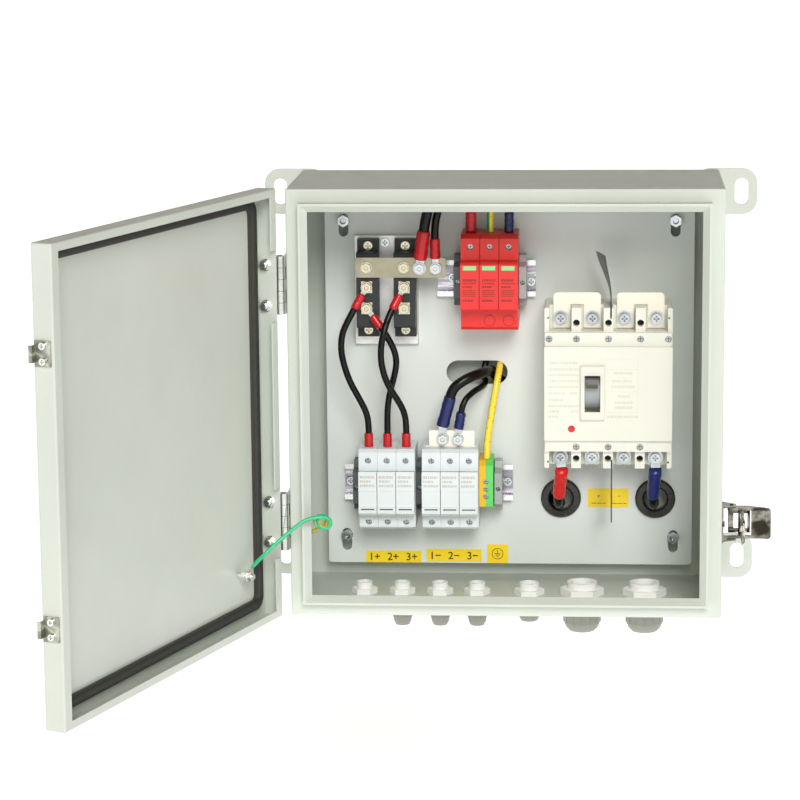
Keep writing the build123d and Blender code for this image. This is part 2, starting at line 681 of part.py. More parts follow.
with BuildPart() as gland_bodies:
    for x, size in glands:
        thread, flats, dome, length, nut_height, bore = gland_sizes(x, size)
        rod((x, gland_y, -half), (0, 0, 1), thread, sheet + nut_height + 6)
        hexagon((x, gland_y, -half - 6), (0, 0, 1), flats, 6)
        rod((x, gland_y, -half - 16), (0, 0, 1), thread - 0.7, 10)
        rod((x, gland_y, -half - 17), (0, 0, 1), thread * 0.78, 60, Mode.SUBTRACT)
    rod((blank_x, gland_y, -half), (0, 0, 1), small_gland[0], sheet + 5 + 6)
    rod((blank_x, gland_y, -half - 3), (0, 0, 1), 10.5, 3)
    rod((blank_x, gland_y, -half + 2), (0, 0, 1), 5.6, 30, Mode.SUBTRACT)
gland_bodies.part.label = "gland_bodies"
export_step(gland_bodies.part, "parts/gland_bodies.step")

with BuildPart() as gland_lock_nuts:
    for x, size in glands + [(blank_x, small_gland)]:
        thread, flats, dome, length, nut_height, bore = gland_sizes(x, size)
        nut((x, gland_y, inside_floor), (0, 0, 1), flats + 2, nut_height, thread + 0.05)
gland_lock_nuts.part.label = "gland_lock_nuts"
export_step(gland_lock_nuts.part, "parts/gland_lock_nuts.step")

with BuildPart() as gland_domes:
    for x, size in glands:
        thread, flats, dome, length, nut_height, bore = gland_sizes(x, size)
        top = -half - 6.3
        end = top - length
        turned(
            (x, gland_y),
            [(thread - 0.6, top), (dome, top), (dome, end + 8), (dome * 0.9, end + 3.5), (dome * 0.72, end),
             (bore, end), (bore, end + 3), (thread * 0.8, end + 6), (thread * 0.8, -half - 16.6),
             (thread - 0.6, -half - 16.6)],
        )
        for step in range(12):
            angle = math.radians(30 * step)
            spot = (x + dome * math.cos(angle), gland_y + dome * math.sin(angle), end + 8)
            rod(spot, (0, 0, 1), 0.8, length - 8.5)
gland_domes.part.label = "gland_domes"
export_step(gland_domes.part, "parts/gland_domes.step")

with BuildPart() as gland_seals:
    for x, size in glands:
        thread, flats, dome, length, nut_height, bore = gland_sizes(x, size)
        end = -half - 6.3 - length
        outer = thread * 0.77
        turned((x, gland_y), [(bore, end + 7), (outer, end + 7), (outer, -half - 2), (bore, -half - 2)])
gland_seals.part.label = "gland_seals"
export_step(gland_seals.part, "parts/gland_seals.step")

# ---------------------------------------------------------------- door, in its own directions
# On the door, x runs from the hinge axis to the free edge and y points to its inner side.
swing = math.radians(door_open)
door_x = Vector(math.cos(swing), -math.sin(swing), 0)
door_plane = Plane(origin=(hinge_x, hinge_y, door_lift), x_dir=door_x, z_dir=(0, 0, 1))
door_y = door_plane.y_dir


def on_door(along, inward, z):
    """A point of the open door in the part's own axes."""
    return door_plane.origin + door_x * along + door_y * inward + Vector(0, 0, z)


hinge_places = (-hinge_z, hinge_z)
knuckles = 5
knuckle_pitch = 2 * hinge_half / knuckles
door_inside = -door_depth + sheet
hinge_bolts = [(level + step) for level in hinge_places for step in (-18.9, 18.9)]
# The keepers' levels are measured on the door, which hangs a little higher than the cabinet.
keeper_places = (-latch_z - door_lift, latch_z - door_lift)
keeper_screw_step = 6.3
hook_reach = 7.4
door_stud = (62.5, door_inside, -150)
door_lug = door_inside + 9.6
lug_reach = (-10.6, 6.2)

with BuildPart(door_plane) as door_shell:
    block((door_near, door_far), (-door_depth, 0), (-door_half, door_half))
    fillet(door_shell.edges(), radius=fold_radius)
    pan = (-door_half + sheet, door_half - sheet)
    block((door_near + sheet, door_far - sheet), (door_inside, -sheet), pan, Mode.SUBTRACT)
    mouth = (-door_half + end_lip, door_half - end_lip)
    block((door_near + return_lip, door_far - return_lip), (-sheet - 1, 1), mouth, Mode.SUBTRACT)
    for level in hinge_places:
        notch = (level - 33, level + 33)
        block((door_near + sheet, door_near + return_lip + 1), (-sheet - 1, 1), notch, Mode.SUBTRACT)
    for z in hinge_bolts:
        rod((door_near - 1, -11, z), (1, 0, 0), 2.6, 4, Mode.SUBTRACT)
    for level in keeper_places:
        for step in (-keeper_screw_step, keeper_screw_step):
            rod((door_far - 4, -9.5, level + step), (1, 0, 0), 2.1, 6, Mode.SUBTRACT)
door_shell.part.label = "door_shell"
export_step(door_shell.part, "parts/door_shell.step")

with BuildPart() as door_gasket:
    middle = (door_near + door_far + seal_hinge - seal_free) / 2
    level = (seal_bottom - seal_top) / 2
    seal_length = box_size - seal_hinge - seal_free
    seal_rise = 2 * door_half - seal_top - seal_bottom
    with BuildSketch(Plane(origin=on_door(middle, door_inside, level), x_dir=door_x, z_dir=door_y)):
        RectangleRounded(seal_length, seal_rise, 12)
        RectangleRounded(seal_length - 2 * seal_width, seal_rise - 2 * seal_width, 6, mode=Mode.SUBTRACT)
    extrude(amount=seal_height)
door_gasket.part.label = "door_gasket"
export_step(door_gasket.part, "parts/door_gasket.step")


def leaf_knuckles(level, first):
    """The barrel segments of one hinge leaf, every other one, joined to the leaf."""
    for index in range(first, knuckles, 2):
        low = level - hinge_half + knuckle_pitch * index + 0.15
        rod((0, 0, low), (0, 0, 1), knuckle_radius, knuckle_pitch - 0.3)


with BuildPart(Plane(origin=(hinge_x, hinge_y, door_lift))) as hinge_cabinet_leaves:
    for level in hinge_places:
        leaf_knuckles(level, 0)
        block((3.5, 5.5), (6, 30), (level - hinge_half, level + hinge_half))
        for index in range(0, knuckles, 2):
            low = level - hinge_half + knuckle_pitch * index + 0.15
            block((3.5, 5.5), (1.2, 6.5), (low, low + knuckle_pitch - 0.3))
        rod((0, 0, level - hinge_half - 1), (0, 0, 1), pin_radius + 0.05, 2 * hinge_half + 2, Mode.SUBTRACT)
hinge_cabinet_leaves.part.label = "hinge_cabinet_leaves"
export_step(hinge_cabinet_leaves.part, "parts/hinge_cabinet_leaves.step")

with BuildPart(door_plane) as hinge_door_leaves:
    for level in hinge_places:
        leaf_knuckles(level, 1)
        block((3.5, 5.5), (-18, -6), (level - hinge_half, level + hinge_half))
        for index in range(1, knuckles, 2):
            low = level - hinge_half + knuckle_pitch * index + 0.15
            block((3.5, 5.5), (-6.5, -1.2), (low, low + knuckle_pitch - 0.3))
        rod((0, 0, level - hinge_half - 1), (0, 0, 1), pin_radius + 0.05, 2 * hinge_half + 2, Mode.SUBTRACT)
    for z in hinge_bolts:
        rod((3, -11, z), (1, 0, 0), 2.6, 4, Mode.SUBTRACT)
hinge_door_leaves.part.label = "hinge_door_leaves"
export_step(hinge_door_leaves.part, "parts/hinge_door_leaves.step")

with BuildPart() as hinge_pins:
    for level in hinge_places:
        pin_end = (hinge_x, hinge_y, door_lift + level - hinge_half - 0.6)
        rod(pin_end, (0, 0, 1), pin_radius, 2 * hinge_half + 1.2)
hinge_pins.part.label = "hinge_pins"
export_step(hinge_pins.part, "parts/hinge_pins.step")

with BuildPart() as door_fasteners:
    for z in hinge_bolts:
        rod(on_door(1.9, -11, z), door_x, 4, 1.6)
        rod(on_door(3.4, -11, z), door_x, 2.5, 6.6)
        washer(on_door(door_near + sheet, -11, z), door_x, 5.6, 1, 2.6)
        hexagon(on_door(door_near + sheet + 1, -11, z), door_x, 8.5, 4)
        rod(on_door(door_near + sheet + 4.9, -11, z), door_x, 2.9, 2.4)
    for level in keeper_places:
        for step in (-keeper_screw_step, keeper_screw_step):
            start = on_door(door_far + sheet, -9.5, level + step)
            pan_screw(start, 2.9, 2, 3.2, 1.8, door_x)
            nut(on_door(door_far - sheet, -9.5, level + step), -door_x, 7, 3, 2.05)
    along, inward, level = door_stud
    with BuildSketch(Plane(origin=on_door(along, door_lug, level), x_dir=door_x, z_dir=door_y)) as door_ring:
        Circle(4.6)
        tip = Vector(lug_reach[0], -lug_reach[1])
        side = Vector(-tip.Y, tip.X).normalized() * 1.5
        Polygon(side, tip + side, tip - side, -side, align=None)
        Circle(2.6, mode=Mode.SUBTRACT)
    extrude(door_ring.sketch, amount=0.8)
    stud_foot = on_door(*door_stud)
    rod(stud_foot, door_y, 2.5, 17)
    nut(stud_foot + door_y * 5.4, door_y, 8, 4, 2.55)
    washer(stud_foot + door_y * 10.45, door_y, 5, 0.8, 2.6)
    nut(stud_foot + door_y * 11.3, door_y, 8, 4, 2.55)
door_fasteners.part.label = "door_fasteners"
export_step(door_fasteners.part, "parts/door_fasteners.step")

with BuildPart(door_plane) as latch_keepers:
    for level in keeper_places:
        face = door_far
        block((face, face + sheet), (-17.4, -2.5), (level - 10.5, level + 10.5))
        block((face, face + hook_reach), (-17.4, -15.9), (level - 7, level + 7))
        block((face + hook_reach - sheet, face + hook_reach), (-19.2, -15.9), (level - 7, level + 7))
        for step in (-keeper_screw_step, keeper_screw_step):
            rod((face - 1, -9.5, level + step), (1, 0, 0), 2.1, 4, Mode.SUBTRACT)
latch_keepers.part.label = "latch_keepers"
export_step(latch_keepers.part, "parts/latch_keepers.step")

# ---------------------------------------------------------------- draw latch, swung open
latch_middle = -latch_z
lever_half = 14.5
bail_offset = (9, 3.5)
bail_length = 49.6
bail_half = 10.5
wire_radius = 1.3

with BuildPart() as latch_base:
    low, high = latch_middle - 16.6, latch_middle + 16.6
    block((half, half + sheet), (-157, -120), (low, high))
    for z in [(low, low + 1.5), (high - 1.5, high)]:
        with BuildSketch(Plane.XY.offset(z[0])) as ear:
            reach = half + 13.5
            Polygon((half, -154), (half + 5, -150), (reach, -146), (reach, -138), (half, -128), align=None)
        extrude(ear.sketch, amount=1.5)
    rod((latch_x, latch_y, low - 1), (0, 0, 1), 1.6, high - low + 2, Mode.SUBTRACT)
    for y in (-151, -126):
        rod((half + sheet, y, latch_middle), (1, 0, 0), 2.8, 1.3)
latch_base.part.label = "latch_base"
export_step(latch_base.part, "parts/latch_base.step")

with BuildPart() as latch_lever:
    # A channel that opens towards the wall when it is closed; its web has a window for the bail.
    block((-4, 33), (-5, -3.8), (-lever_half, lever_half))
    block((31, 36), (-6.4, -3.8), (-lever_half, lever_half))
    block((-5, 18), (-6, -3), (-12.2, 12.2), Mode.SUBTRACT)
    for side in (-1, 1):
        with BuildSketch(Plane.XY.offset(lever_half - 1.3 if side > 0 else -lever_half)) as cheek:
            Polygon((-4, -5), (33, -5), (30, -1.5), (14, 5.5), (4, 5.5), (-4, 2), align=None)
        extrude(cheek.sketch, amount=1.3)
    fillet(latch_lever.edges().filter_by(Axis.Y).sort_by(Axis.X)[-2:], 3)
    for side in (-1, 1):
        # Stub rivets, so that the bail's arms can pass between them.
        rod((0, 0, side * (lever_half - 1)), (0, 0, side), 1.5, 4)
    x, y = bail_offset
    rod((x, y, -lever_half), (0, 0, 1), 1.5, 2 * lever_half)
latch_lever.part = latch_lever.part.moved(Location((latch_x, latch_y, latch_middle)))
latch_lever.part.label = "latch_lever"
export_step(latch_lever.part, "parts/latch_lever.step")

with BuildPart() as latch_bail:
    with BuildLine() as loop:
        FilletPolyline(
            (0, -1, -bail_half), (0, -bail_length, -bail_half),
            (0, -bail_length, bail_half), (0, -1, bail_half),
            radius=3,
        )
    loop_wire = loop.wires()[0]
    with BuildSketch(Plane(origin=loop_wire @ 0, z_dir=loop_wire % 0)) as wire_section:
        Circle(wire_radius)
    sweep(wire_section.sketch, path=loop_wire)
    rod((0, 0, -bail_half - 2.2), (0, 0, 1), 2.7, 2 * bail_half + 4.4)
    rod((0, 0, -bail_half - 3), (0, 0, 1), 1.55, 2 * bail_half + 6, Mode.SUBTRACT)
bail_place = (latch_x + bail_offset[0], latch_y + bail_offset[1], latch_middle)
latch_bail.part = latch_bail.part.moved(Location(bail_place))
latch_bail.part.label = "latch_bail"
export_step(latch_bail.part, "parts/latch_bail.step")

# ---------------------------------------------------------------- lugs, sleeves and cables


def lug(x, height, z, end, radius, hole, neck):
    """A flat ring terminal whose neck points to its end in X and Z."""
    along = Vector(end[0] - x, end[1] - z)
    end = (end[0] - along.normalized().X * 0.5, end[1] - along.normalized().Y * 0.5)
    across = Vector(-along.Y, along.X).normalized() * neck
    with BuildSketch(Plane.XZ.offset(-out(height))) as flat:
        with Locations((x, z)):
            Circle(radius)
        base = Vector(x, z)
        tip = Vector(end[0], end[1])
        Polygon(base + across, tip + across, tip - across, base - across, align=None)
        with Locations((x, z)):
            Circle(hole, mode=Mode.SUBTRACT)
    extrude(flat.sketch, amount=breaker_lug if radius > 7 else lug_sheet)


def beyond(sleeve, distance):
    """A point on a sleeve's line, past its second end."""
    start, end = Vector(*sleeve[0]), Vector(*sleeve[1])
    return tuple(end + (end - start).normalized() * distance)


# Each sleeve is given by its two end points as (X, height, Z), then its radius.
string_sleeves = [
    ((-138.4, 37.8, 87.6), (-145.4, 41, 75.2), 4.2),
    ((-128.2, 37.8, 67.4), (-120.3, 41, 57.1), 4.2),
    ((-102.6, 37.8, 87.6), (-109.2, 42, 75.0), 4.2),
]
ferrule_x = [pole for pole in fuse_poles[:3]]
ferrule_height = 35.5
ferrule_sleeves = [((x, ferrule_height, fuse_top), (x, ferrule_height, -45.8), 4.4) for x in ferrule_x]
busbar_sleeves = [
    ((-82.4, 44.5, 123.8), (-78.4, 50, 151), 6.7),
    ((-68.3, 42.3, 123.8), (-68.5, 44, 143), 5),
]
spd_sleeves = [
    ((spd_poles[0], 30, spd_high), (spd_poles[0], 30, 168), 5.4),
    ((spd_poles[2], 30, spd_high), (spd_poles[2], 30, 168), 4.7),
]
comb_sleeves = [
    ((-62.6, 38.5, -38.4), (-55.0, 38, -10.1), 6.2),
    ((-47.2, 38.6, -40.8), (-44.5, 38, -24.5), 4.9),
]
breaker_sleeves = [
    ((51.2, 43.5, -78.5), (48.2, 25, -108.5), 6.4),
    ((140.2, 43.5, -78.5), (138.2, 25, -108.5), 6.4),
]
all_sleeves = string_sleeves + ferrule_sleeves + busbar_sleeves + spd_sleeves + comb_sleeves + breaker_sleeves

with BuildPart() as lug_sleeves:
    for start, end, radius in all_sleeves:
        start, end = on_plate([start, end])
        run = Vector(*end) - Vector(*start)
        rod(start, run, radius, run.length)
lug_sleeves.part.label = "lug_sleeves"
export_step(lug_sleeves.part, "parts/lug_sleeves.step")

with BuildPart() as wire_lugs:
    lug(module_x[0], pad_out, terminal_z[1], (-138.4, 87.6), 5, 2.6, 2.4)
    lug(module_x[0], pad_out, terminal_z[2], (-128.2, 67.4), 5, 2.6, 2.4)
    lug(module_x[1], pad_out, terminal_z[1], (-102.6, 87.6), 5, 2.6, 2.4)
    lug(busbar_bolts[2][0], bar_seat, busbar_bolts[2][1], (-82.4, 123.4), 6.4, 2.6, 4)
    lug(busbar_bolts[3][0], bar_seat, busbar_bolts[3][1], (-68.3, 123.4), 5.6, 2.6, 3)
    lug(*comb_bolts[0][:1], comb_height[1], comb_bolts[0][1], (-62.6, -39), 6, 2.6, 3.8)
    lug(*comb_bolts[1][:1], comb_height[1], comb_bolts[1][1], (-47.2, -41.4), 5.6, 2.6, 3)
    for x, tip in zip(wired_poles, (51, 140.3)):
        lug(x, pad_top, lower_bolt_z, (tip, -77), 7.2, 3.1, 4.4)
    lug_face = Plane(origin=(cabinet_lug, earth_stud[1], earth_stud[2]), x_dir=(0, 1, 0), z_dir=(1, 0, 0))
    with BuildSketch(lug_face) as ring:
        Circle(5)
        Polygon((0, 1.5), (-9, 1.5), (-9, -1.5), (0, -1.5), align=None)
        Circle(3.1, mode=Mode.SUBTRACT)
    extrude(ring.sketch, amount=1)
wire_lugs.part.label = "wire_lugs"
export_step(wire_lugs.part, "parts/wire_lugs.step")

string_routes = [
    [beyond(string_sleeves[0], 0.1), beyond(string_sleeves[0], 11), (-157.2, 45, 52), (-158.4, 46, 36.5),
     (-155.6, 46, 21.5), (-150.2, 45, 5.5), (-142.5, 42, -9.8), (-136.0, 38, -23.5),
     (-133.5, ferrule_height, -35), (-133.5, ferrule_height, -45.7)],
    [beyond(string_sleeves[1], 0.1), beyond(string_sleeves[1], 9), (-107.4, 42, 35.5), (-105.7, 39, 22.6),
     (-108.6, 38, 8.5), (-112.4, 37.5, -5), (-115.0, 36.5, -19.5),
     (-115.5, ferrule_height, -33), (-115.5, ferrule_height, -45.7)],
    [beyond(string_sleeves[2], 0.1), beyond(string_sleeves[2], 9), (-116.4, 51, 56), (-119.6, 52.5, 42.5),
     (-120.0, 52.5, 27.0), (-116.8, 51, 11.5), (-110.9, 49, -1.7), (-103.9, 45, -13.0), (-98.9, 39.5, -25.0),
     (-97.5, ferrule_height, -36), (-97.5, ferrule_height, -45.7)],
]
positive_main = [
    beyond(busbar_sleeves[0], 0.1), beyond(busbar_sleeves[0], 10), (-72.9, 54, 175), (-69.9, 45, 186.5),
    (-68.9, 32, 191), (-68.9, 17, 191.6), (-69.4, 3, 190.8), (-70.6, -8, 185.5), (-72, -13.2, 174.5),
    (-73.5, -14, 154), (-75.8, -14, 116), (-76.4, -14, 66), (-75, -14, 16), (-70, -14, -30), (-54, -14, -68),
    (-26, -14, -96), (4, -14, -112), (24, -14, -118.5), (38, -13, -119.8), (46.5, -7.5, -119.6),
    (49.6, 1, -119.6), (48.8, 10.5, -120.2), beyond(breaker_sleeves[0], 8.5), beyond(breaker_sleeves[0], 0.1),
]
negative_main = [
    beyond(comb_sleeves[0], 0.1), beyond(comb_sleeves[0], 8), (-44.6, 37, 4.2), (-35.6, 33, 8.6),
    (-26.2, 24, 10.6), (-20, 12.5, 10.8), (-17.7, 1, 9.8), (-14.8, -8, 4.6), (-8.5, -13, -3.5), (6, -14.5, -13),
    (32, -14.5, -25.5), (68, -14.5, -42), (98, -14.5, -62), (120, -14.5, -84), (131.5, -13.5, -102),
    (137.6, -9, -114), (139.8, 0, -119.6), (138.8, 10.5, -120.4),
    beyond(breaker_sleeves[1], 8.5), beyond(breaker_sleeves[1], 0.1),
]
spd_positive = [
    beyond(busbar_sleeves[1], 0.1), beyond(busbar_sleeves[1], 12), (-65.2, 45, 170), (-60.2, 43, 182.5),
    (-50.5, 39, 188.5), (-41.4, 34, 184), (spd_poles[0], 30, 176.5), (spd_poles[0], 30, 168.1),
]
spd_negative = [
    (spd_poles[2], 30, 168.1), (spd_poles[2], 30, 177), (0.8, 22, 186.5), (0.4, 9, 191), (0, -2.5, 188.5),
    (-0.6, -7.5, 179), (-1.6, -8, 161), (-4, -8, 122), (-7.6, -8.2, 84), (-12.6, -8.4, 50), (-18.6, -11, 29),
    (-23.2, -12.4, 15), (-25.2, -7, 4.4), (-22.4, 4.6, -2.2), (-25.4, 16, -3.8), (-34, 28.5, -7),
    beyond(comb_sleeves[1], 10), beyond(comb_sleeves[1], 0.1),
]
earth_route = [
    (spd_poles[1], 30, spd_high + 0.3), (spd_poles[1], 30, 161), (-16.4, 29, 174), (-16.2, 21.5, 185.5),
    (-16.4, 9, 190.4), (-16.4, -4, 189), (-16, -13, 180.5), (-15.6, -16.5, 165), (-15, -16.5, 132),
    (-13.4, -16.5, 88), (-11.4, -16.5, 50), (-10, -15.5, 27), (-9, -8, 16.2), (-9, 3, 13.6), (-10, 12.4, 7.6),
    (-12.4, 18, -6), (-16.2, 22, -28), (-19.6, 26.5, -50), (-20.6, 28, -62), (-20.6, 28, -71.5),
]

with BuildPart() as string_wires:
    for route in string_routes:
        tube(on_plate(route), string_wire)
string_wires.part.label = "string_wires"
export_step(string_wires.part, "parts/string_wires.step")

with BuildPart() as power_cables:
    for route in (positive_main, negative_main):
        tube(on_plate(route), main_cable)
    tube(on_plate(spd_positive), spd_feed)
    tube(on_plate(spd_negative), thin_wire)
power_cables.part.label = "power_cables"
export_step(power_cables.part, "parts/power_cables.step")

with BuildPart() as earth_wire:
    tube(on_plate(earth_route), earth_wire_size)
earth_wire.part.label = "earth_wire"
export_step(earth_wire.part, "parts/earth_wire.step")

# The lead that earths the door: door stud, over the rim, a small coil, then the cabinet's stud.
lug_tip = (door_stud[0] + lug_reach[0] * 1.03, door_stud[2] + lug_reach[1] * 1.03)
lead_start = on_door(lug_tip[0], door_lug + 0.4, lug_tip[1])
coil_middle = (-167.4, -174.5, -108)
coil_outer = 8.4
coil_inner = 3.2
coil_length = 11
lead_out = [tuple(lead_start), (-223.4, -200.4, -136.2), (-210, -193.5, -124.6), (-196, -188, -112.9),
            (-184, -184, -104.2), (-174, -180.6, -102.2), (coil_middle[0], -178.6, coil_middle[2] + 5)]
lead_back = [(coil_middle[0], -170.4, coil_middle[2] - 5), (-173, -168.5, -116.4), (-178, -164, -119.4),
             (-183, -158.5, -122.5), (cabinet_lug + 0.5, -154.8, -124.6), (cabinet_lug + 0.5, -149.2, -125)]

with BuildPart() as door_earth_lead:
    tube(lead_out, lead_size)
    tube(lead_back, lead_size)
    x, y, z = coil_middle
    rod((x, y - coil_length / 2, z), (0, 1, 0), coil_outer, coil_length)
    rod((x, y - coil_length / 2, z), (0, 1, 0), coil_inner, coil_length, Mode.SUBTRACT)
door_earth_lead.part.label = "door_earth_lead"
export_step(door_earth_lead.part, "parts/door_earth_lead.step")

with BuildPart() as circuit_labels:
    stickers = [
        ((-140.1, -86.1), (-181.9, -170.2)), ((-80.9, -27.4), (-180.2, -168.2)),
        ((-21.7, -1.4), (-181.9, -163.2)),
        ((76.0, 96.9), (-125.2, -106.7)), ((97.1, 115.4), (-125.2, -106.7)),
    ]
    for x, z in stickers:
        plate_block(x, (0, 0.4), z)
circuit_labels.part.label = "circuit_labels"
export_step(circuit_labels.part, "parts/circuit_labels.step")
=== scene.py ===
import math
import random

import bmesh
import bpy
from mathutils import Matrix, Vector


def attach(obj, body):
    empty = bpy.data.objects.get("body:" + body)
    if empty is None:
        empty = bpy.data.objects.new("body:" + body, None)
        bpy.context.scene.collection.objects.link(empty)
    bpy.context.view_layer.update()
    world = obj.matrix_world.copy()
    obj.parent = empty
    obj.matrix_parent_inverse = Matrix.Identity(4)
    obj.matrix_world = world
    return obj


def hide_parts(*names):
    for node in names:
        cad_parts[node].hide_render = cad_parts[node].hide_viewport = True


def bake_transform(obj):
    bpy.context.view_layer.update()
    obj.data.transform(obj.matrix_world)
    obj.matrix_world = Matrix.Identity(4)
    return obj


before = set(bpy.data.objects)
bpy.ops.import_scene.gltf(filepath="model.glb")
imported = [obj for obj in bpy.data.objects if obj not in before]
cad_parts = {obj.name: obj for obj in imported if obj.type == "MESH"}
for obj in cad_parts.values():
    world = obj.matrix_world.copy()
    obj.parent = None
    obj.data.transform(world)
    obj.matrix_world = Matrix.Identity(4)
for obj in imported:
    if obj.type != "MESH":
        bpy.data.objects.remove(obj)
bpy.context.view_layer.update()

MM = 0.001
PI = math.pi

# Driving sizes in millimetres, and the door's opening in degrees
PLATE_FRONT = -29.5
RAIL_LEVEL = 99.8
RAIL_LIP_START = 12.8
HANDLE_PIVOT = (50, -0.5)
HANDLE_SHIELD_RADIUS = 20
CLAMPS_TURN_GREY = -16
DIODE_BLOCK_RIGHT = -90
BREAKER_SIDE = 20
EARTH_TERMINAL_JOINT = -21.15
DOOR_OPEN = 110
DOOR_SKIN = -17.5


def mm(*values):
    """A point in metres from millimetres."""
    return Vector(values) * MM


def at(x, height, z):
    """A point in metres from X, height in front of the mounting plate, and Z, in millimetres."""
    return mm(x, PLATE_FRONT - height, z)


# ---------------------------------------------------------------- materials


class Nodes:
    """A short way to write a material's node tree."""

    def __init__(self, name):
        self.material = bpy.data.materials.new(name)
        self.material.use_nodes = True
        self.tree = self.material.node_tree
        self.shader = self.tree.nodes["Principled BSDF"]
        self.place = self.add("ShaderNodeTexCoord").outputs["Object"]

    def add(self, kind, **settings):
        node = self.tree.nodes.new(kind)
        for key, value in settings.items():
            setattr(node, key, value)
        return node

    def link(self, source, target):
        self.tree.links.new(source, target)

    def noise(self, scale, detail=3.0, rough=0.55, where=None, distortion=0.0):
        node = self.add("ShaderNodeTexNoise")
        node.inputs["Scale"].default_value = scale
        node.inputs["Detail"].default_value = detail
        node.inputs["Roughness"].default_value = rough
        node.inputs["Distortion"].default_value = distortion
        self.link(where or self.place, node.inputs["Vector"])
        return node.outputs["Fac"]

    def stretched(self, x, y, z):
        node = self.add("ShaderNodeMapping")
        node.inputs["Scale"].default_value = (x, y, z)
        self.link(self.place, node.inputs["Vector"])
        return node.outputs["Vector"]

    def ramp(self, source, *stops):
        node = self.add("ShaderNodeValToRGB")
        elements = node.color_ramp.elements
        while len(elements) < len(stops):
            elements.new(0.5)
        for element, (position, colour) in zip(elements, stops):
            element.position = position
            element.color = (*colour, 1) if len(colour) == 3 else colour
        self.link(source, node.inputs["Fac"])
        return node.outputs["Color"]

    def span(self, source, low, high, start=0.3, end=0.7):
        node = self.add("ShaderNodeMapRange")
        node.inputs["From Min"].default_value = start
        node.inputs["From Max"].default_value = end
        node.inputs["To Min"].default_value = low
        node.inputs["To Max"].default_value = high
        self.link(source, node.inputs["Value"])
        return node.outputs["Result"]

    def mix(self, factor, first, second):
        node = self.add("ShaderNodeMix", data_type="RGBA")
        sockets = (node.inputs[0], node.inputs[6], node.inputs[7])
        for socket, value in zip(sockets, (factor, first, second)):
            if isinstance(value, bpy.types.NodeSocket):
                self.link(value, socket)
            elif isinstance(value, tuple):
                socket.default_value = (*value, 1)
            else:
                socket.default_value = value
        return node.outputs[2]

    def math(self, operation, first, second=0.0):
        node = self.add("ShaderNodeMath", operation=operation)
        for socket, value in zip(node.inputs, (first, second)):
            if isinstance(value, bpy.types.NodeSocket):
                self.link(value, socket)
            else:
                socket.default_value = value
        return node.outputs[0]

    def axis(self, name):
        node = self.add("ShaderNodeSeparateXYZ")
        self.link(self.place, node.inputs[0])
        return node.outputs[name]

    def crevice(self, distance, low=0.25, high=0.85):
        """About one in tight corners and recesses, nought on open faces: an ambient occlusion mask
        by which the finishes paint shade into corners, and paint the foam seal lighter on its
        walls.
        """
        node = self.add("ShaderNodeAmbientOcclusion")
        node.samples = 6
        node.inputs["Distance"].default_value = distance * MM
        return self.span(node.outputs["AO"], 1.0, 0.0, low, high)

    def bump(self, source, distance, strength=0.5):
        node = self.add("ShaderNodeBump")
        node.inputs["Strength"].default_value = strength
        node.inputs["Distance"].default_value = distance
        self.link(source, node.inputs["Height"])
        self.link(node.outputs["Normal"], self.shader.inputs["Normal"])

    def set(self, **values):
        for key, value in values.items():
            socket = self.shader.inputs[key.replace("_", " ")]
            if isinstance(value, bpy.types.NodeSocket):
                self.link(value, socket)
            elif isinstance(value, tuple):
                socket.default_value = (*value, 1)
            else:
                socket.default_value = value


def linear(colour):
    """A linear colour from a six-digit one."""
    parts = [int(colour[i:i + 2], 16) / 255 for i in (0, 2, 4)]
    return tuple(
        part / 12.92 if part <= 0.04045 else ((part + 0.055) / 1.055) ** 2.4 for part in parts
    )


def shade(colour, factor):
    return tuple(min(1, part * factor) for part in colour)


def paint(name, colour, grain=900, depth=0.00012, rough=0.42, strength=0.25):
    """Powder coat: fine orange peel, faint cloudiness and a few darker patches."""
    n = Nodes(name)
    base = linear(colour)
    cloud = n.noise(9, 4)
    body = n.ramp(cloud, (0.3, shade(base, 0.955)), (0.7, shade(base, 1.03)))
    dirt = n.noise(38, 6, 0.7)
    body = n.mix(n.span(dirt, 0.0, 0.16, 0.58, 0.8), body, shade(base, 0.8))
    n.set(Base_Color=body, Roughness=n.span(n.noise(60, 3), rough - 0.06, rough + 0.08))
    n.set(Specular_IOR_Level=0.5, Coat_Weight=0.12, Coat_Roughness=0.3)
    n.bump(n.noise(grain, 2, 0.5), depth, strength)
    return n.material


def plastic(name, colour, rough=0.38, grain=1400, depth=0.00004, mottled=0.05, coat=0.0, shine=0.5):
    """Moulded plastic: a slight colour drift, fine texture and uneven gloss."""
    n = Nodes(name)
    base = linear(colour)
    drift = n.noise(26, 4, 0.6)
    body = n.ramp(drift, (0.3, shade(base, 1 - mottled)), (0.7, shade(base, 1 + mottled * 0.8)))
    n.set(Base_Color=body, Roughness=n.span(n.noise(120, 4), rough - 0.06, rough + 0.07))
    n.set(Coat_Weight=coat, Coat_Roughness=0.2, Specular_IOR_Level=shine)
    n.bump(n.noise(grain, 2), depth, 0.35)
    return n.material


def metal(name, colour, rough=0.24, tint=None, brushed=(1, 1, 1), scratch=700, corner_shade=0.8, reach=2.2):
    """Plated metal: fine brushing, a faint drift of tint and painted shade, a dark teal, in its
    corners.
    """
    n = Nodes(name)
    base = linear(colour)
    other = linear(tint) if tint else shade(base, 0.9)
    body = n.ramp(n.noise(55, 3, 0.5), (0.35, other), (0.65, base))
    # Painted shade: dark teal mixed into corners and recesses by the occlusion mask, as strongly as
    # the amount asks.
    shade_mask = n.math("MULTIPLY", n.crevice(reach), corner_shade)
    body = n.mix(shade_mask, body, linear("1F2A2E"))
    lines = n.noise(scratch, 3, 0.6, n.stretched(*brushed))
    n.set(Base_Color=body, Metallic=1.0, Roughness=n.span(lines, rough - 0.07, rough + 0.1))
    n.bump(lines, 0.00002, 0.25)
    return n.material


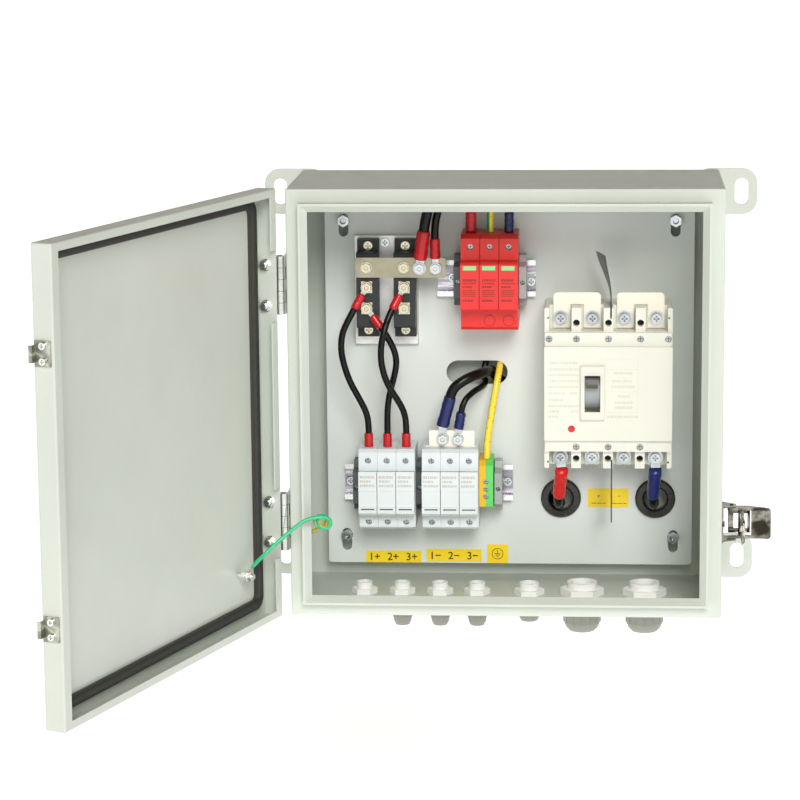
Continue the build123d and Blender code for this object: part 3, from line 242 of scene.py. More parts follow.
def reflection_streaked(name, colours, scale, stretch, rough=0.13, corner_shade=0.6):
    """Bright plating with painted reflections: sharp light and dark streaks stand for what stands
    around it, and painted shade darkens its corners.
    """
    n = Nodes(name)
    dark, middle, light = (linear(colour) for colour in colours)
    # Painted reflection: noise streaks ramped dark, middle and light stand for the surroundings
    # mirrored in the plating.
    reflection_streaks = n.noise(scale, 2, 0.5, n.stretched(*stretch), 0.6)
    stops = ((0.38, dark), (0.45, middle), (0.53, light), (0.58, middle), (0.66, dark))
    body = n.ramp(reflection_streaks, *stops)
    # Painted shade: near black mixed into corners by the occlusion mask.
    body = n.mix(n.math("MULTIPLY", n.crevice(2.0), corner_shade), body, linear("14110E"))
    uneven = n.span(n.noise(300, 3), rough - 0.05, rough + 0.08)
    n.set(Base_Color=body, Metallic=1.0, Roughness=uneven)
    n.bump(n.noise(260, 2), 0.00002, 0.2)
    return n.material


cabinet_paint = paint("cabinet_paint", "CCD2C8")
plate_paint = paint("plate_paint", "DAE0DB", grain=700, depth=0.00006, rough=0.4, strength=0.2)
# The latch's chrome, its bail and the nickel keepers carry painted reflections as streaks.
chrome = reflection_streaked("chrome", ("37332B", "6E6D64", "A3A299"), 28, (1, 1, 2.4))
bail_chrome = reflection_streaked("bail_chrome", ("4A463E", "8F8B80", "DDDBD3"), 90, (1, 1, 1))
nickel = reflection_streaked("nickel", ("94968A", "B2B4A6", "D2D4C8"), 60, (1, 1, 1), 0.34, 0.3)
zinc = metal("zinc", "CFD5D5", 0.17, "B2BABA", corner_shade=0.95)
hinge_zinc = metal("hinge_zinc", "DCDEDA", 0.16, "BEC1BC", corner_shade=0.95, reach=3.4)
acorn_zinc = metal("acorn_zinc", "FAFBF8", 0.3, "E2E6E2", corner_shade=0.35)
tinned = metal("tinned_bar", "AAA691", 0.34, "98937C", (1, 30, 30), 200, 0.5)
cast_plate = metal("cast_plate", "EDEDE9", 0.42, "DADAD5", (1, 24, 24), 300, 0.3)
steel_pin = metal("steel_pin", "A5A9AC", 0.3)
cream_bar = plastic("cream_bar", "FBF6E6", 0.3, 500, 0.00004, 0.03)
module_black = plastic("module_black", "23282A", 0.5, 1100, 0.0001, 0.18)
spd_red = plastic("spd_red", "DE271F", 0.33, 1300, 0.00004, 0.06)
cartridge_red = plastic("cartridge_red", "E22B27", 0.36, 1300, 0.00004, 0.06)
window_green = plastic("window_green", "8FD690", 0.25, coat=0.4)
spd_shadow = plastic("spd_shadow", "B81C18", 0.4)
red_print = plastic("red_print", "8A1C1E", 0.5)
fuse_white = plastic("fuse_white", "DEE5E5", 0.4, 1500, 0.00004, 0.03)
fuse_grey = plastic("fuse_grey", "DDE4E6", 0.42, 1500, 0.00004, 0.03)
pale_print = plastic("pale_print", "C4C2BC", 0.5)
ivory = plastic("ivory", "E3E3D7", 0.4, 1700, 0.00005, 0.02)
ivory_print = plastic("ivory_print", "D6D2C3", 0.5)
# Near black for painted shade in the fuse carriers' grooves and the breaker cover's screw holes.
hollow_shade_black = plastic("hollow_shade_black", "0E0F10", 0.7)
red_button = plastic("red_button", "E0241D", 0.3)
grey_nylon = plastic("grey_nylon", "96968D", 0.42, 900, 0.00006, 0.05)
white_nylon = plastic("white_nylon", "FBFCF8", 0.42, 900, 0.00005, 0.03)
black_rubber = plastic("black_rubber", "262624", 0.25, 300, 0.00006, 0.2)
label_yellow = plastic("label_yellow", "F9D71C", 0.35, 600, 0.00002, 0.03)
label_ink = plastic("label_ink", "2E2914", 0.5)
ceramic = plastic("ceramic", "EFEBDD", 0.22, 600, 0.00002, 0.03, 0.4)
film_black = plastic("film_black", "3A3C38", 0.34, 300, 0.0001, 0.12)
black_wire = plastic("black_wire", "040505", 0.3, 500, 0.00005, 0.2, shine=0.3)


def foam():
    """Poured foam: a dull skin, with painted light that makes it a little lighter and browner on
    its walls than on its crown.
    """
    n = Nodes("foam_seal")
    base = linear("2B2B27")
    body = n.ramp(n.noise(70, 5, 0.7), (0.3, shade(base, 0.75)), (0.7, shade(base, 1.2)))
    # Painted light: a lighter brown mixed onto the seal's walls, near the door's skin, by the
    # occlusion mask.
    body = n.mix(n.crevice(8, 0.35, 0.8), body, linear("4A463C"))
    n.set(Base_Color=body, Roughness=0.6)
    n.bump(n.noise(500, 4, 0.6), 0.0002, 0.4)
    return n.material


foam_seal = foam()


def lead_finish():
    """Green insulation with a yellow stripe along it, which is wider at the coil's cabinet end."""
    n = Nodes("lead_finish")
    split = n.add("ShaderNodeSeparateXYZ")
    n.link(n.add("ShaderNodeUVMap", uv_map="around").outputs["UV"], split.inputs[0])
    width = n.span(split.outputs["Y"], 0.3, 0.72, 0.52, 0.6)
    side = n.math("LESS_THAN", n.math("FRACT", n.math("ADD", split.outputs["X"], 0.8)), width)
    body = n.mix(side, linear("2FC48D"), linear("D9B83A"))
    body = n.mix(n.span(n.noise(300, 3), 0, 0.12), body, linear("205030"))
    n.set(Base_Color=body, Roughness=0.3)
    n.bump(n.noise(500, 2), 0.00004, 0.3)
    return n.material


def two_tone(name, first, second, axis, limit, rough=0.4):
    """One colour up to a place along an axis, and another beyond it: two plastics on the earth
    terminal, and painted light and shade of one plastic on the sleeves.
    """
    n = Nodes(name)
    body = n.mix(n.math("GREATER_THAN", n.axis(axis), limit * MM), linear(first), linear(second))
    body = n.mix(n.span(n.noise(26, 4), 0, 0.1), body, (0.05, 0.05, 0.05))
    n.set(Base_Color=body, Roughness=n.span(n.noise(120, 4), rough - 0.06, rough + 0.06))
    n.bump(n.noise(1300, 2), 0.00004, 0.3)
    return n.material


def handle_finish():
    """The breaker's handle is dark, and the curved shield behind it is grey."""
    n = Nodes("handle_finish")
    shift = n.add("ShaderNodeVectorMath", operation="SUBTRACT")
    n.link(n.place, shift.inputs[0])
    pivot_out, pivot_z = HANDLE_PIVOT
    shift.inputs[1].default_value = (0, (PLATE_FRONT - pivot_out) * MM, pivot_z * MM)
    flat = n.add("ShaderNodeVectorMath", operation="MULTIPLY")
    n.link(shift.outputs[0], flat.inputs[0])
    flat.inputs[1].default_value = (0, 1, 1)
    length = n.add("ShaderNodeVectorMath", operation="LENGTH")
    n.link(flat.outputs[0], length.inputs[0])
    start, end = (HANDLE_SHIELD_RADIUS - 0.1) * MM, (HANDLE_SHIELD_RADIUS + 0.3) * MM
    outside = n.span(length.outputs["Value"], 0, 1, start, end)
    body = n.mix(outside, linear("A3A9A7"), linear("5B554A"))
    body = n.mix(n.span(n.noise(60, 4), 0, 0.25), body, (0.02, 0.02, 0.02))
    n.set(Base_Color=body, Roughness=0.38)
    n.bump(n.noise(1300, 2), 0.00005, 0.3)
    return n.material


def rail_finish():
    """Passivated rail: grey, lilac and green lines run along its web, its lips are painted brighter
    as a highlight, and its corners carry painted shade.
    """
    n = Nodes("rail_finish")
    lines = n.noise(42, 3, 0.55, n.stretched(0.2, 2.5, 2.5))
    stops = (
        (0.3, "6E7477"), (0.4, "D8DCDD"), (0.47, "A99CAC"), (0.54, "8E9496"), (0.61, "E6E9EA"),
        (0.7, "93A99C"),
    )
    body = n.ramp(lines, *((place, linear(colour)) for place, colour in stops))
    # Painted highlight: the lips, beyond RAIL_LIP_START from the rail's middle, are painted near
    # white.
    above_rail = n.math("SUBTRACT", n.math("ABSOLUTE", n.axis("Z")), RAIL_LEVEL * MM)
    lip_highlight = n.math("GREATER_THAN", n.math("ABSOLUTE", above_rail), RAIL_LIP_START * MM)
    body = n.mix(lip_highlight, body, linear("F0F2F2"))
    # Painted shade: dark teal mixed into the rail's corners by the occlusion mask.
    body = n.mix(n.math("MULTIPLY", n.crevice(3), 0.8), body, linear("1F2A2E"))
    n.set(Base_Color=body, Metallic=1.0, Roughness=n.span(n.noise(300, 3), 0.2, 0.32))
    n.bump(n.noise(400, 3), 0.00002, 0.25)
    return n.material


def clamp_finish():
    """End clamps: dark grey on the left part of the rails, and light grey on the right."""
    n = Nodes("clamp_finish")
    right = n.math("GREATER_THAN", n.axis("X"), CLAMPS_TURN_GREY * MM)
    body = n.mix(right, linear("5E6263"), linear("B4B7B6"))
    body = n.mix(n.span(n.noise(40, 4), 0, 0.22), body, (0.03, 0.03, 0.03))
    n.set(Base_Color=body, Roughness=0.48)
    n.bump(n.noise(1000, 2), 0.00006, 0.35)
    return n.material


def bolt_finish():
    """The diode block's bolts have a yellowish plating, and the others a bright one; all have
    painted shade in their corners.
    """
    n = Nodes("bolt_finish")
    yellowish = n.math("LESS_THAN", n.axis("X"), DIODE_BLOCK_RIGHT * MM)
    body = n.mix(yellowish, linear("D0D5D5"), linear("D2CCB2"))
    # Painted shade: dark teal mixed into the bolts' corners and recesses by the occlusion mask.
    body = n.mix(n.math("MULTIPLY", n.crevice(2.2), 0.85), body, linear("1F2A2E"))
    n.set(Base_Color=body, Metallic=1.0, Roughness=n.span(n.noise(700, 3), 0.12, 0.26))
    n.bump(n.noise(700, 3), 0.00002, 0.25)
    return n.material


def breaker_terminal_finish():
    """The upper link plates are cream; the lower clamping pads are bare plated metal, with painted
    shade in their corners.
    """
    n = Nodes("breaker_terminal_finish")
    bare = n.math("LESS_THAN", n.axis("Z"), 0)
    # Painted shade: the pads' metal turns dark teal in corners and recesses by the occlusion mask.
    metal_side = n.mix(n.crevice(3), linear("B9BEBD"), linear("2A3133"))
    cream = n.mix(n.span(n.noise(26, 4), 0, 1), linear("FBF6E6"), linear("F3EDDA"))
    n.set(Base_Color=n.mix(bare, cream, metal_side), Metallic=bare)
    n.set(Roughness=n.span(n.noise(500, 3), 0.24, 0.36))
    n.bump(n.noise(500, 2), 0.00003, 0.3)
    return n.material


# Painted light: the sleeves beyond X = BREAKER_SIDE, at the breaker, take a lighter copy of their
# colour, and the rest a shaded one.
red_sleeve = two_tone("red_sleeve", "C40E18", "E01C1D", "X", BREAKER_SIDE, 0.24)
navy_sleeve = two_tone("navy_sleeve", "101C5A", "1D2B72", "X", BREAKER_SIDE, 0.22)
terminal_finish = two_tone("terminal_finish", "F3BE1E", "5FD868", "X", EARTH_TERMINAL_JOINT)

finishes = {
    "cabinet_shell": cabinet_paint, "door_shell": cabinet_paint, "wall_brackets": cabinet_paint,
    "mounting_plate": plate_paint, "studs_and_nuts": zinc, "plate_screws": zinc,
    "grommets": black_rubber, "din_rails": rail_finish(), "end_brackets": clamp_finish(),
    "diode_base": cast_plate, "diode_modules": module_black, "diode_busbar": tinned,
    "comb_busbar": cream_bar, "terminal_bolts": bolt_finish(), "spd_base": spd_red,
    "fuse_bases": fuse_grey, "earth_terminal": terminal_finish, "terminal_screws": zinc,
    "breaker_base": ivory, "breaker_cover": ivory, "breaker_terminals": breaker_terminal_finish(),
    "breaker_screws": zinc, "phase_barriers": film_black, "breaker_handle": handle_finish(),
    "trip_button": red_button, "gland_bodies": white_nylon, "gland_lock_nuts": white_nylon,
    "gland_domes": grey_nylon, "gland_seals": black_rubber, "door_gasket": foam_seal,
    "hinge_cabinet_leaves": hinge_zinc, "hinge_door_leaves": hinge_zinc, "hinge_pins": steel_pin,
    "door_fasteners": acorn_zinc, "latch_keepers": nickel, "latch_base": chrome,
    "latch_lever": chrome, "latch_bail": bail_chrome, "wire_lugs": zinc,
    "lug_sleeves": red_sleeve, "string_wires": black_wire, "power_cables": black_wire,
    "earth_wire": label_yellow, "door_earth_lead": window_green, "circuit_labels": label_yellow,
}
for index in range(1, 4):
    finishes[f"spd_cartridge_{index}"] = cartridge_red
for index in range(1, 7):
    finishes[f"fuse_carrier_{index}"] = fuse_white
    finishes[f"fuse_link_{index}"] = ceramic
for node, finish in finishes.items():
    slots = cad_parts[node].material_slots
    for place in slots:
        place.material = finish
    if not slots:
        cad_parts[node].data.materials.append(finish)

# ---------------------------------------------------------------- mesh helpers


def piece(name, mesh, finish, body, smooth=True):
    """A new object that rides on a body and wears a finish."""
    item = bpy.data.objects.new(name, mesh)
    bpy.context.scene.collection.objects.link(item)
    mesh.materials.clear()
    mesh.materials.append(finish)
    for polygon in mesh.polygons:
        polygon.use_smooth = smooth
    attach(item, body)
    return item


def mesh_of(work, name):
    bmesh.ops.recalc_face_normals(work, faces=work.faces)
    mesh = bpy.data.meshes.new(name)
    work.to_mesh(mesh)
    work.free()
    return mesh


def frames_along(points):
    """A direction and two sideways directions at each point, carried along without twist."""
    result = []
    side = None
    for index, point in enumerate(points):
        ahead = points[min(index + 1, len(points) - 1)] - points[max(index - 1, 0)]
        ahead.normalize()
        if side is None:
            side = ahead.orthogonal().normalized()
        side = (side - ahead * side.dot(ahead)).normalized()
        result.append((ahead, side, ahead.cross(side)))
    return result


def add_tube(work, points, radii, segments=20, wobble=None):
    """A closed round tube through points, with a radius at each; its UVs run around and along."""
    around = work.loops.layers.uv.verify()
    rings = []
    for index, (radius, (ahead, side, other)) in enumerate(zip(radii, frames_along(points))):
        ring = []
        for step in range(segments):
            angle = 2 * PI * step / segments
            reach = radius * (1 + (wobble(index, angle) if wobble else 0))
            outward = side * math.cos(angle) + other * math.sin(angle)
            ring.append(work.verts.new(points[index] + outward * reach))
        rings.append(ring)
    for index, (first, second) in enumerate(zip(rings, rings[1:])):
        for step in range(segments):
            after = (step + 1) % segments
            face = work.faces.new((first[step], first[after], second[after], second[step]))
            for loop, (across, along) in zip(face.loops, ((0, 0), (1, 0), (1, 1), (0, 1))):
                loop[around].uv = ((step + across) / segments, (index + along) / len(rings))
    work.faces.new(list(reversed(rings[0])))
    work.faces.new(rings[-1])


def add_box(work, low, high, bevel=0.0, steps=2):
    """A box between two corners, in metres, with rounded edges when a bevel is given."""
    made = bmesh.ops.create_cube(work, size=1)["verts"]
    middle, size = (low + high) / 2, high - low
    for vert in made:
        vert.co = Vector(middle[i] + vert.co[i] * size[i] for i in range(3))
    if bevel:
        edges = list({edge for vert in made for edge in vert.link_edges})
        bmesh.ops.bevel(work, geom=edges, offset=bevel, segments=steps, affect="EDGES", profile=0.5)


# ---------------------------------------------------------------- shrink sleeves


def crumple(seed, amount):
    """Soft lengthwise and crosswise dents of shrink sleeve."""
    def dent(index, angle):
        wave = math.sin(index * 0.9 + seed * 2.1 + 1.3 * math.sin(angle + seed))
        wave += 0.7 * math.sin(2 * angle + index * 0.45 + seed * 3.7)
        wave += 0.5 * math.sin(3 * angle - index * 0.8 + seed)
        return amount * wave / 2.2
    return dent


def sleeve(work, seed, start, end, radius, cable, dents=0.05):
    """A sleeve from lug to cable: full over the barrel, and necked down at the cable's end."""
    a, b = at(*start), at(*end)
    steps, neck_start, mouth, skin = 26, 0.8, 0.06, 0.55
    points = [a.lerp(b, i / steps) for i in range(steps + 1)]
    radii = []
    for i in range(steps + 1):
        t = i / steps
        shape = radius * (1 - 0.05 * math.sin(PI * t))
        neck = max(0.0, (t - neck_start) / (1 - neck_start))
        shape = shape * (1 - neck * neck) + (cable / 2 + skin) * neck * neck
        if t < mouth:
            shape *= 1 - mouth + t
        radii.append(shape * MM)
    add_tube(work, points, radii, 28, crumple(seed, dents))


string_cable, main_cable, spd_cable, return_cable, earth_cable = 6.2, 10, 7.5, 6, 6.4
string_sleeves = [
    ((-138.4, 37.8, 87.6), (-145.4, 41, 75.2), 4.2),
    ((-128.2, 37.8, 67.4), (-120.3, 41, 57.1), 4.2),
    ((-102.6, 37.8, 87.6), (-109.2, 42, 75.0), 4.2),
]
pole_x = [-133.5, -115.5, -97.5, -73, -55, -37]
spd_x = [-34.9, -16.9, 1.1]
ferrule_height = 35.5
ferrule_low, ferrule_high = -59.2, -45.8
spd_wire_height = 30
spd_sleeve_low, spd_sleeve_high = 147, 168
busbar_sleeves = [
    ((-82.4, 44.5, 123.8), (-78.4, 50, 151), 6.7),
    ((-68.3, 42.3, 123.8), (-68.5, 44, 143), 5),
]
comb_sleeves = [
    ((-62.6, 38.5, -38.4), (-55.0, 38, -10.1), 6.2),
    ((-47.2, 38.6, -40.8), (-44.5, 38, -24.5), 4.9),
]
breaker_sleeves = [
    ((51.2, 43.5, -78.5), (48.2, 25, -108.5), 6.4),
    ((140.2, 43.5, -78.5), (138.2, 25, -108.5), 6.4),
]

red_work = bmesh.new()
for index, (start, end, radius) in enumerate(string_sleeves):
    sleeve(red_work, index, start, end, radius, string_cable, 0.02)
for index, x in enumerate(pole_x[:3]):
    low, high = (x, ferrule_height, ferrule_low), (x, ferrule_height, ferrule_high)
    sleeve(red_work, 5 + index, low, high, 4.4, string_cable, 0.015)
sleeve(red_work, 9, *busbar_sleeves[0], main_cable, 0.025)
sleeve(red_work, 10, *busbar_sleeves[1], spd_cable, 0.025)
spd_positive_low = (spd_x[0], spd_wire_height, spd_sleeve_low)
spd_positive_high = (spd_x[0], spd_wire_height, spd_sleeve_high)
sleeve(red_work, 11, spd_positive_low, spd_positive_high, 5.4, spd_cable, 0.03)
sleeve(red_work, 12, *breaker_sleeves[0], main_cable, 0.025)
red_mesh = mesh_of(red_work, "red_sleeves")
red_sleeves = piece("red_sleeves", red_mesh, red_sleeve, "cabinet")
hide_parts("lug_sleeves")

navy_work = bmesh.new()
spd_negative_low = (spd_x[2], spd_wire_height, spd_sleeve_low)
spd_negative_high = (spd_x[2], spd_wire_height, spd_sleeve_high)
sleeve(navy_work, 13, spd_negative_low, spd_negative_high, 4.7, return_cable, 0.05)
sleeve(navy_work, 14, *comb_sleeves[0], main_cable, 0.05)
sleeve(navy_work, 15, *comb_sleeves[1], return_cable, 0.05)
sleeve(navy_work, 16, *breaker_sleeves[1], main_cable, 0.035)
navy_mesh = mesh_of(navy_work, "navy_sleeves")
navy_sleeves = piece("navy_sleeves", navy_mesh, navy_sleeve, "cabinet")
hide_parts("lug_sleeves")

# ---------------------------------------------------------------- wires


def beyond(run, distance):
    """A point on a sleeve's line, past its second end."""
    start, end = Vector(run[0]), Vector(run[1])
    return tuple(end + (end - start).normalized() * distance)


string_routes = [
    [beyond(string_sleeves[0], 0.1), beyond(string_sleeves[0], 11),
     (-157.2, 45, 52), (-158.4, 46, 36.5), (-155.6, 46, 21.5), (-150.2, 45, 5.5),
     (-142.5, 42, -9.8), (-136.0, 38, -23.5),
     (pole_x[0], ferrule_height, -35), (pole_x[0], ferrule_height, -45.7)],
    [beyond(string_sleeves[1], 0.1), beyond(string_sleeves[1], 9),
     (-107.4, 42, 35.5), (-105.7, 39, 22.6), (-108.6, 38, 8.5), (-112.4, 37.5, -5),
     (-115.0, 36.5, -19.5),
     (pole_x[1], ferrule_height, -33), (pole_x[1], ferrule_height, -45.7)],
    [beyond(string_sleeves[2], 0.1), beyond(string_sleeves[2], 9),
     (-116.4, 51, 56), (-119.6, 52.5, 42.5), (-120.0, 52.5, 27.0), (-116.8, 51, 11.5),
     (-110.9, 49, -1.7), (-103.9, 45, -13.0), (-98.9, 39.5, -25.0),
     (pole_x[2], ferrule_height, -36), (pole_x[2], ferrule_height, -45.7)],
]
positive_main = [
    beyond(busbar_sleeves[0], 0.1), beyond(busbar_sleeves[0], 10),
    (-72.9, 54, 175), (-69.9, 45, 186.5), (-68.9, 32, 191), (-68.9, 17, 191.6),
    (-69.4, 3, 190.8), (-70.6, -8, 185.5), (-72, -13.2, 174.5), (-73.5, -14, 154),
    (-75.8, -14, 116), (-76.4, -14, 66), (-75, -14, 16), (-70, -14, -30),
    (-54, -14, -68), (-26, -14, -96), (4, -14, -112), (24, -14, -118.5), (38, -13, -119.8),
    (46.5, -7.5, -119.6), (49.6, 1, -119.6), (48.8, 10.5, -120.2),
    beyond(breaker_sleeves[0], 8.5), beyond(breaker_sleeves[0], 0.1),
]
negative_main = [
    beyond(comb_sleeves[0], 0.1), beyond(comb_sleeves[0], 8), (-44.6, 37, 4.2), (-35.6, 33, 8.6),
    (-26.2, 24, 10.6), (-20, 12.5, 10.8), (-17.7, 1, 9.8), (-14.8, -8, 4.6), (-8.5, -13, -3.5),
    (6, -14.5, -13), (32, -14.5, -25.5), (68, -14.5, -42), (98, -14.5, -62), (120, -14.5, -84),
    (131.5, -13.5, -102), (137.6, -9, -114), (139.8, 0, -119.6), (138.8, 10.5, -120.4),
    beyond(breaker_sleeves[1], 8.5), beyond(breaker_sleeves[1], 0.1),
]
spd_positive = [
    beyond(busbar_sleeves[1], 0.1), beyond(busbar_sleeves[1], 12),
    (-65.2, 45, 170), (-60.2, 43, 182.5), (-50.5, 39, 188.5), (-41.4, 34, 184),
    (spd_x[0], spd_wire_height, 176.5), (spd_x[0], spd_wire_height, 168.1),
]
spd_negative = [
    (spd_x[2], spd_wire_height, 168.1), (spd_x[2], spd_wire_height, 177),
    (0.8, 22, 186.5), (0.4, 9, 191), (0, -2.5, 188.5),
    (-0.6, -7.5, 179), (-1.6, -8, 161), (-4, -8, 122), (-7.6, -8.2, 84), (-12.6, -8.4, 50),
    (-18.6, -11, 29), (-23.2, -12.4, 15), (-25.2, -7, 4.4), (-22.4, 4.6, -2.2), (-25.4, 16, -3.8),
    (-34, 28.5, -7), beyond(comb_sleeves[1], 10), beyond(comb_sleeves[1], 0.1),
]
earth_route = [
    (spd_x[1], spd_wire_height, 147.3), (spd_x[1], spd_wire_height, 161),
    (-16.4, 29, 174), (-16.2, 21.5, 185.5),
    (-16.4, 9, 190.4), (-16.4, -4, 189), (-16, -13, 180.5), (-15.6, -16.5, 165), (-15, -16.5, 132),
    (-13.4, -16.5, 88), (-11.4, -16.5, 50), (-10, -15.5, 27), (-9, -8, 16.2), (-9, 3, 13.6),
    (-10, 12.4, 7.6), (-12.4, 18, -6), (-16.2, 22, -28), (-19.6, 26.5, -50), (-20.6, 28, -62),
    (-20.6, 28, -71.5),
]


def spline_through(name, points):
    """A curve object with one smooth NURBS spline, whose control points are a route's points."""
    curve = bpy.data.curves.new(name, "CURVE")
    curve.dimensions = "3D"
    spline = curve.splines.new("NURBS")
    spline.points.add(len(points) - 1)
    for control, point in zip(spline.points, points):
        control.co = (*point, 1)
    spline.order_u = 3
    spline.use_endpoint_u = True
    spline.resolution_u = 10
    item = bpy.data.objects.new(name, curve)
    bpy.context.scene.collection.objects.link(item)
    return item


def wire(name, route, diameter, finish, node):
    """A wire that runs from one terminal to another."""
    points = [at(*point) for point in route]
    item = spline_through(name, points)
    item.data.bevel_depth = diameter / 2 * MM
    item.data.bevel_resolution = 6
    item.data.use_fill_caps = True
    item.data.materials.append(finish)
    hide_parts(node)
    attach(item, "cabinet")


def earth_finish():
    """Green and yellow insulation: green on its left side higher up, and mostly yellow below."""
    n = Nodes("earth_finish")
    face = n.add("ShaderNodeSeparateXYZ")
    n.link(n.add("ShaderNodeTexCoord").outputs["Normal"], face.inputs[0])
    edge = n.span(n.axis("Z"), -0.9, -0.12, 0.02, 0.1)
    green = n.math("LESS_THAN", face.outputs["X"], edge)
    body = n.mix(green, linear("FCDE3E"), linear("1E9C50"))
    specks = n.math("GREATER_THAN", n.noise(520, 1, 0.4), 0.69)
    body = n.mix(n.math("MULTIPLY", specks, 0.7), body, linear("5A4A10"))
    n.set(Base_Color=body, Roughness=0.33)
    n.bump(n.noise(500, 2), 0.00005, 0.3)
    return n.material


for index, (route, length) in enumerate(zip(string_routes, (0.129, 0.108, 0.131)), 1):
    name = f"string_wire_{index}"
    wire(name, route, string_cable, black_wire, "string_wires")
for name, route, diameter, length, stiffness in [
    ("positive_main", positive_main, main_cable, 0.506, "stiff"),
    ("negative_main", negative_main, main_cable, 0.316, "stiff"),
    ("spd_positive", spd_positive, spd_cable, 0.082, "medium"),
    ("spd_negative", spd_negative, return_cable, 0.298, "medium"),
]:
    wire(name, route, diameter, black_wire, "power_cables")
wire(
    "earth_wire_run", earth_route, earth_cable, earth_finish(), "earth_wire",
)

# ---------------------------------------------------------------- the door's directions

swing = math.radians(DOOR_OPEN)
door_x = Vector((math.cos(swing), -math.sin(swing), 0))
door_y = Vector((math.sin(swing), math.cos(swing), 0))
hinge_axis = Vector((-205.5, -163.5, 1))


def on_door(along, inward, z):
    """A point of the open door in metres, from its own directions in millimetres."""
    return (hinge_axis + door_x * along + door_y * inward + Vector((0, 0, z))) * MM


# ---------------------------------------------------------------- the door's earth lead

lead_radius = 1.8
stud_along, stud_z, lug_height = 62.5, -150, 10
lug_along, lug_rise, past_lug = 10.6, 6.2, 1.03
lead_start = on_door(
    stud_along - lug_along * past_lug, DOOR_SKIN + lug_height, stud_z + lug_rise * past_lug,
)
coil_middle = Vector((-166.2, -174.5, -108))
coil_reach = 5.5 * 1.03
coil_drift, drift_starts, drift_turns = 3.8, 0.8, 0.7
coil_near, coil_far = -179.2, -169.9
turns, per_turn = 2.5, 12
lead_points = [lead_start] + [mm(*p) for p in [
    (-223.4, -200.4, -136.2), (-210, -193.5, -124.6), (-196, -188, -112.9), (-184, -184, -104.2),
    (-174, -180.6, -102.2),
]]
for step in range(int(turns * per_turn) + 1):
    turn_count = step / per_turn
    angle = PI / 2 - 2 * PI * turn_count
    shift = coil_drift * min(max((turn_count - drift_starts) / drift_turns, 0), 1)
    depth = coil_near + (coil_far - coil_near) * turn_count / turns
    across = coil_middle.x - shift + coil_reach * math.cos(angle)
    lead_points.append(mm(across, depth, coil_middle.z + coil_reach * math.sin(angle)))
lead_points += [mm(*p) for p in [
    (-173, -168.5, -116.4), (-178, -164, -119.4), (-183, -158.5, -122.5), (-189.3, -154.8, -124.6),
    (-189.3, -149.2, -125),
]]
guide = spline_through("lead_guide", lead_points)
guide_mesh = bpy.data.meshes.new_from_object(guide)
lead_path = [vert.co.copy() for vert in guide_mesh.vertices]
bpy.data.objects.remove(guide)
lead_work = bmesh.new()
add_tube(lead_work, lead_path, [lead_radius * MM] * len(lead_path), 16)
lead_mesh = mesh_of(lead_work, "earth_lead")
lead_mesh.materials.append(lead_finish())
lead_mesh.uv_layers[0].name = "around"
for polygon in lead_mesh.polygons:
    polygon.use_smooth = True
earth_lead = bpy.data.objects.new("earth_lead", lead_mesh)
bpy.context.scene.collection.objects.link(earth_lead)
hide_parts("door_earth_lead")
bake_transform(earth_lead)

# ---------------------------------------------------------------- the door's foam seal


def rounded_loop(half_x, half_z, radius, steps=8):
    """Points around a rectangle with rounded corners."""
    loop = []
    for across, rise, start in [(1, 1, 0), (-1, 1, 90), (-1, -1, 180), (1, -1, 270)]:
        cx = across * (half_x - radius)
        cz = rise * (half_z - radius)
        for step in range(steps + 1):
            angle = math.radians(start + 90 * step / steps)
            loop.append((cx + radius * math.cos(angle), cz + radius * math.sin(angle)))
    return loop


# How far in from the seal's edge, and how high above the door's skin
seal_profile = [
    (0, 0), (0, 3.8), (0.5, 5.2), (1.9, 6.2), (4.6, 6.5), (7.3, 6.2), (8.7, 5.2), (9.2, 3.8),
    (9.2, 0),
]
seal_half_x, seal_half_z = 186.5, 191
seal_corner, least_corner, corner_loss = 12, 6, 0.65
seal_middle_x, seal_middle_z = 207, 1.5
seal_work = bmesh.new()
seal_rings = []
for inset, rise in seal_profile:
    corner = max(seal_corner - inset * corner_loss, least_corner)
    loop = rounded_loop(seal_half_x - inset, seal_half_z - inset, corner)
    spots = [on_door(seal_middle_x + x, DOOR_SKIN + rise, seal_middle_z + z) for x, z in loop]
    seal_rings.append([seal_work.verts.new(spot) for spot in spots])
for first, second in zip(seal_rings, seal_rings[1:] + seal_rings[:1]):
    for index in range(len(first)):
        after = (index + 1) % len(first)
        seal_work.faces.new((first[index], first[after], second[after], second[index]))
seal = piece("door_seal", mesh_of(seal_work, "door_seal"), foam_seal, "door")
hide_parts("door_gasket")

# ---------------------------------------------------------------- markings


def text_mesh(work, words, size, x, height, z, thin=0.02):
    """Flat figures on a face of the mounting plate, centred on X and standing on Z."""
    curve = bpy.data.curves.new("figures", "FONT")
    curve.body = words
    curve.size = size * MM
    curve.align_x = "CENTER"
    curve.extrude = thin * MM
    curve.offset = 0.12 * MM
    item = bpy.data.objects.new("figures", curve)
    bpy.context.scene.collection.objects.link(item)
    mesh = bpy.data.meshes.new_from_object(item)
    mesh.transform(Matrix.Translation(at(x, height, z)) @ Matrix.Rotation(PI / 2, 4, "X"))
    work.from_mesh(mesh)
    bpy.data.objects.remove(item)


ink_work = bmesh.new()
label_face = 0.42
figure_size, figure_pitch = 10.5, 18.2
plus_x, plus_z = -131.8, -179.6
minus_x, minus_z = -72.4, -178.2
for column in range(3):
    across = figure_pitch * column
    text_mesh(ink_work, f"{column + 1}+", figure_size, plus_x + across, label_face, plus_z)
    text_mesh(ink_work, f"{column + 1}−", figure_size, minus_x + across, label_face, minus_z)


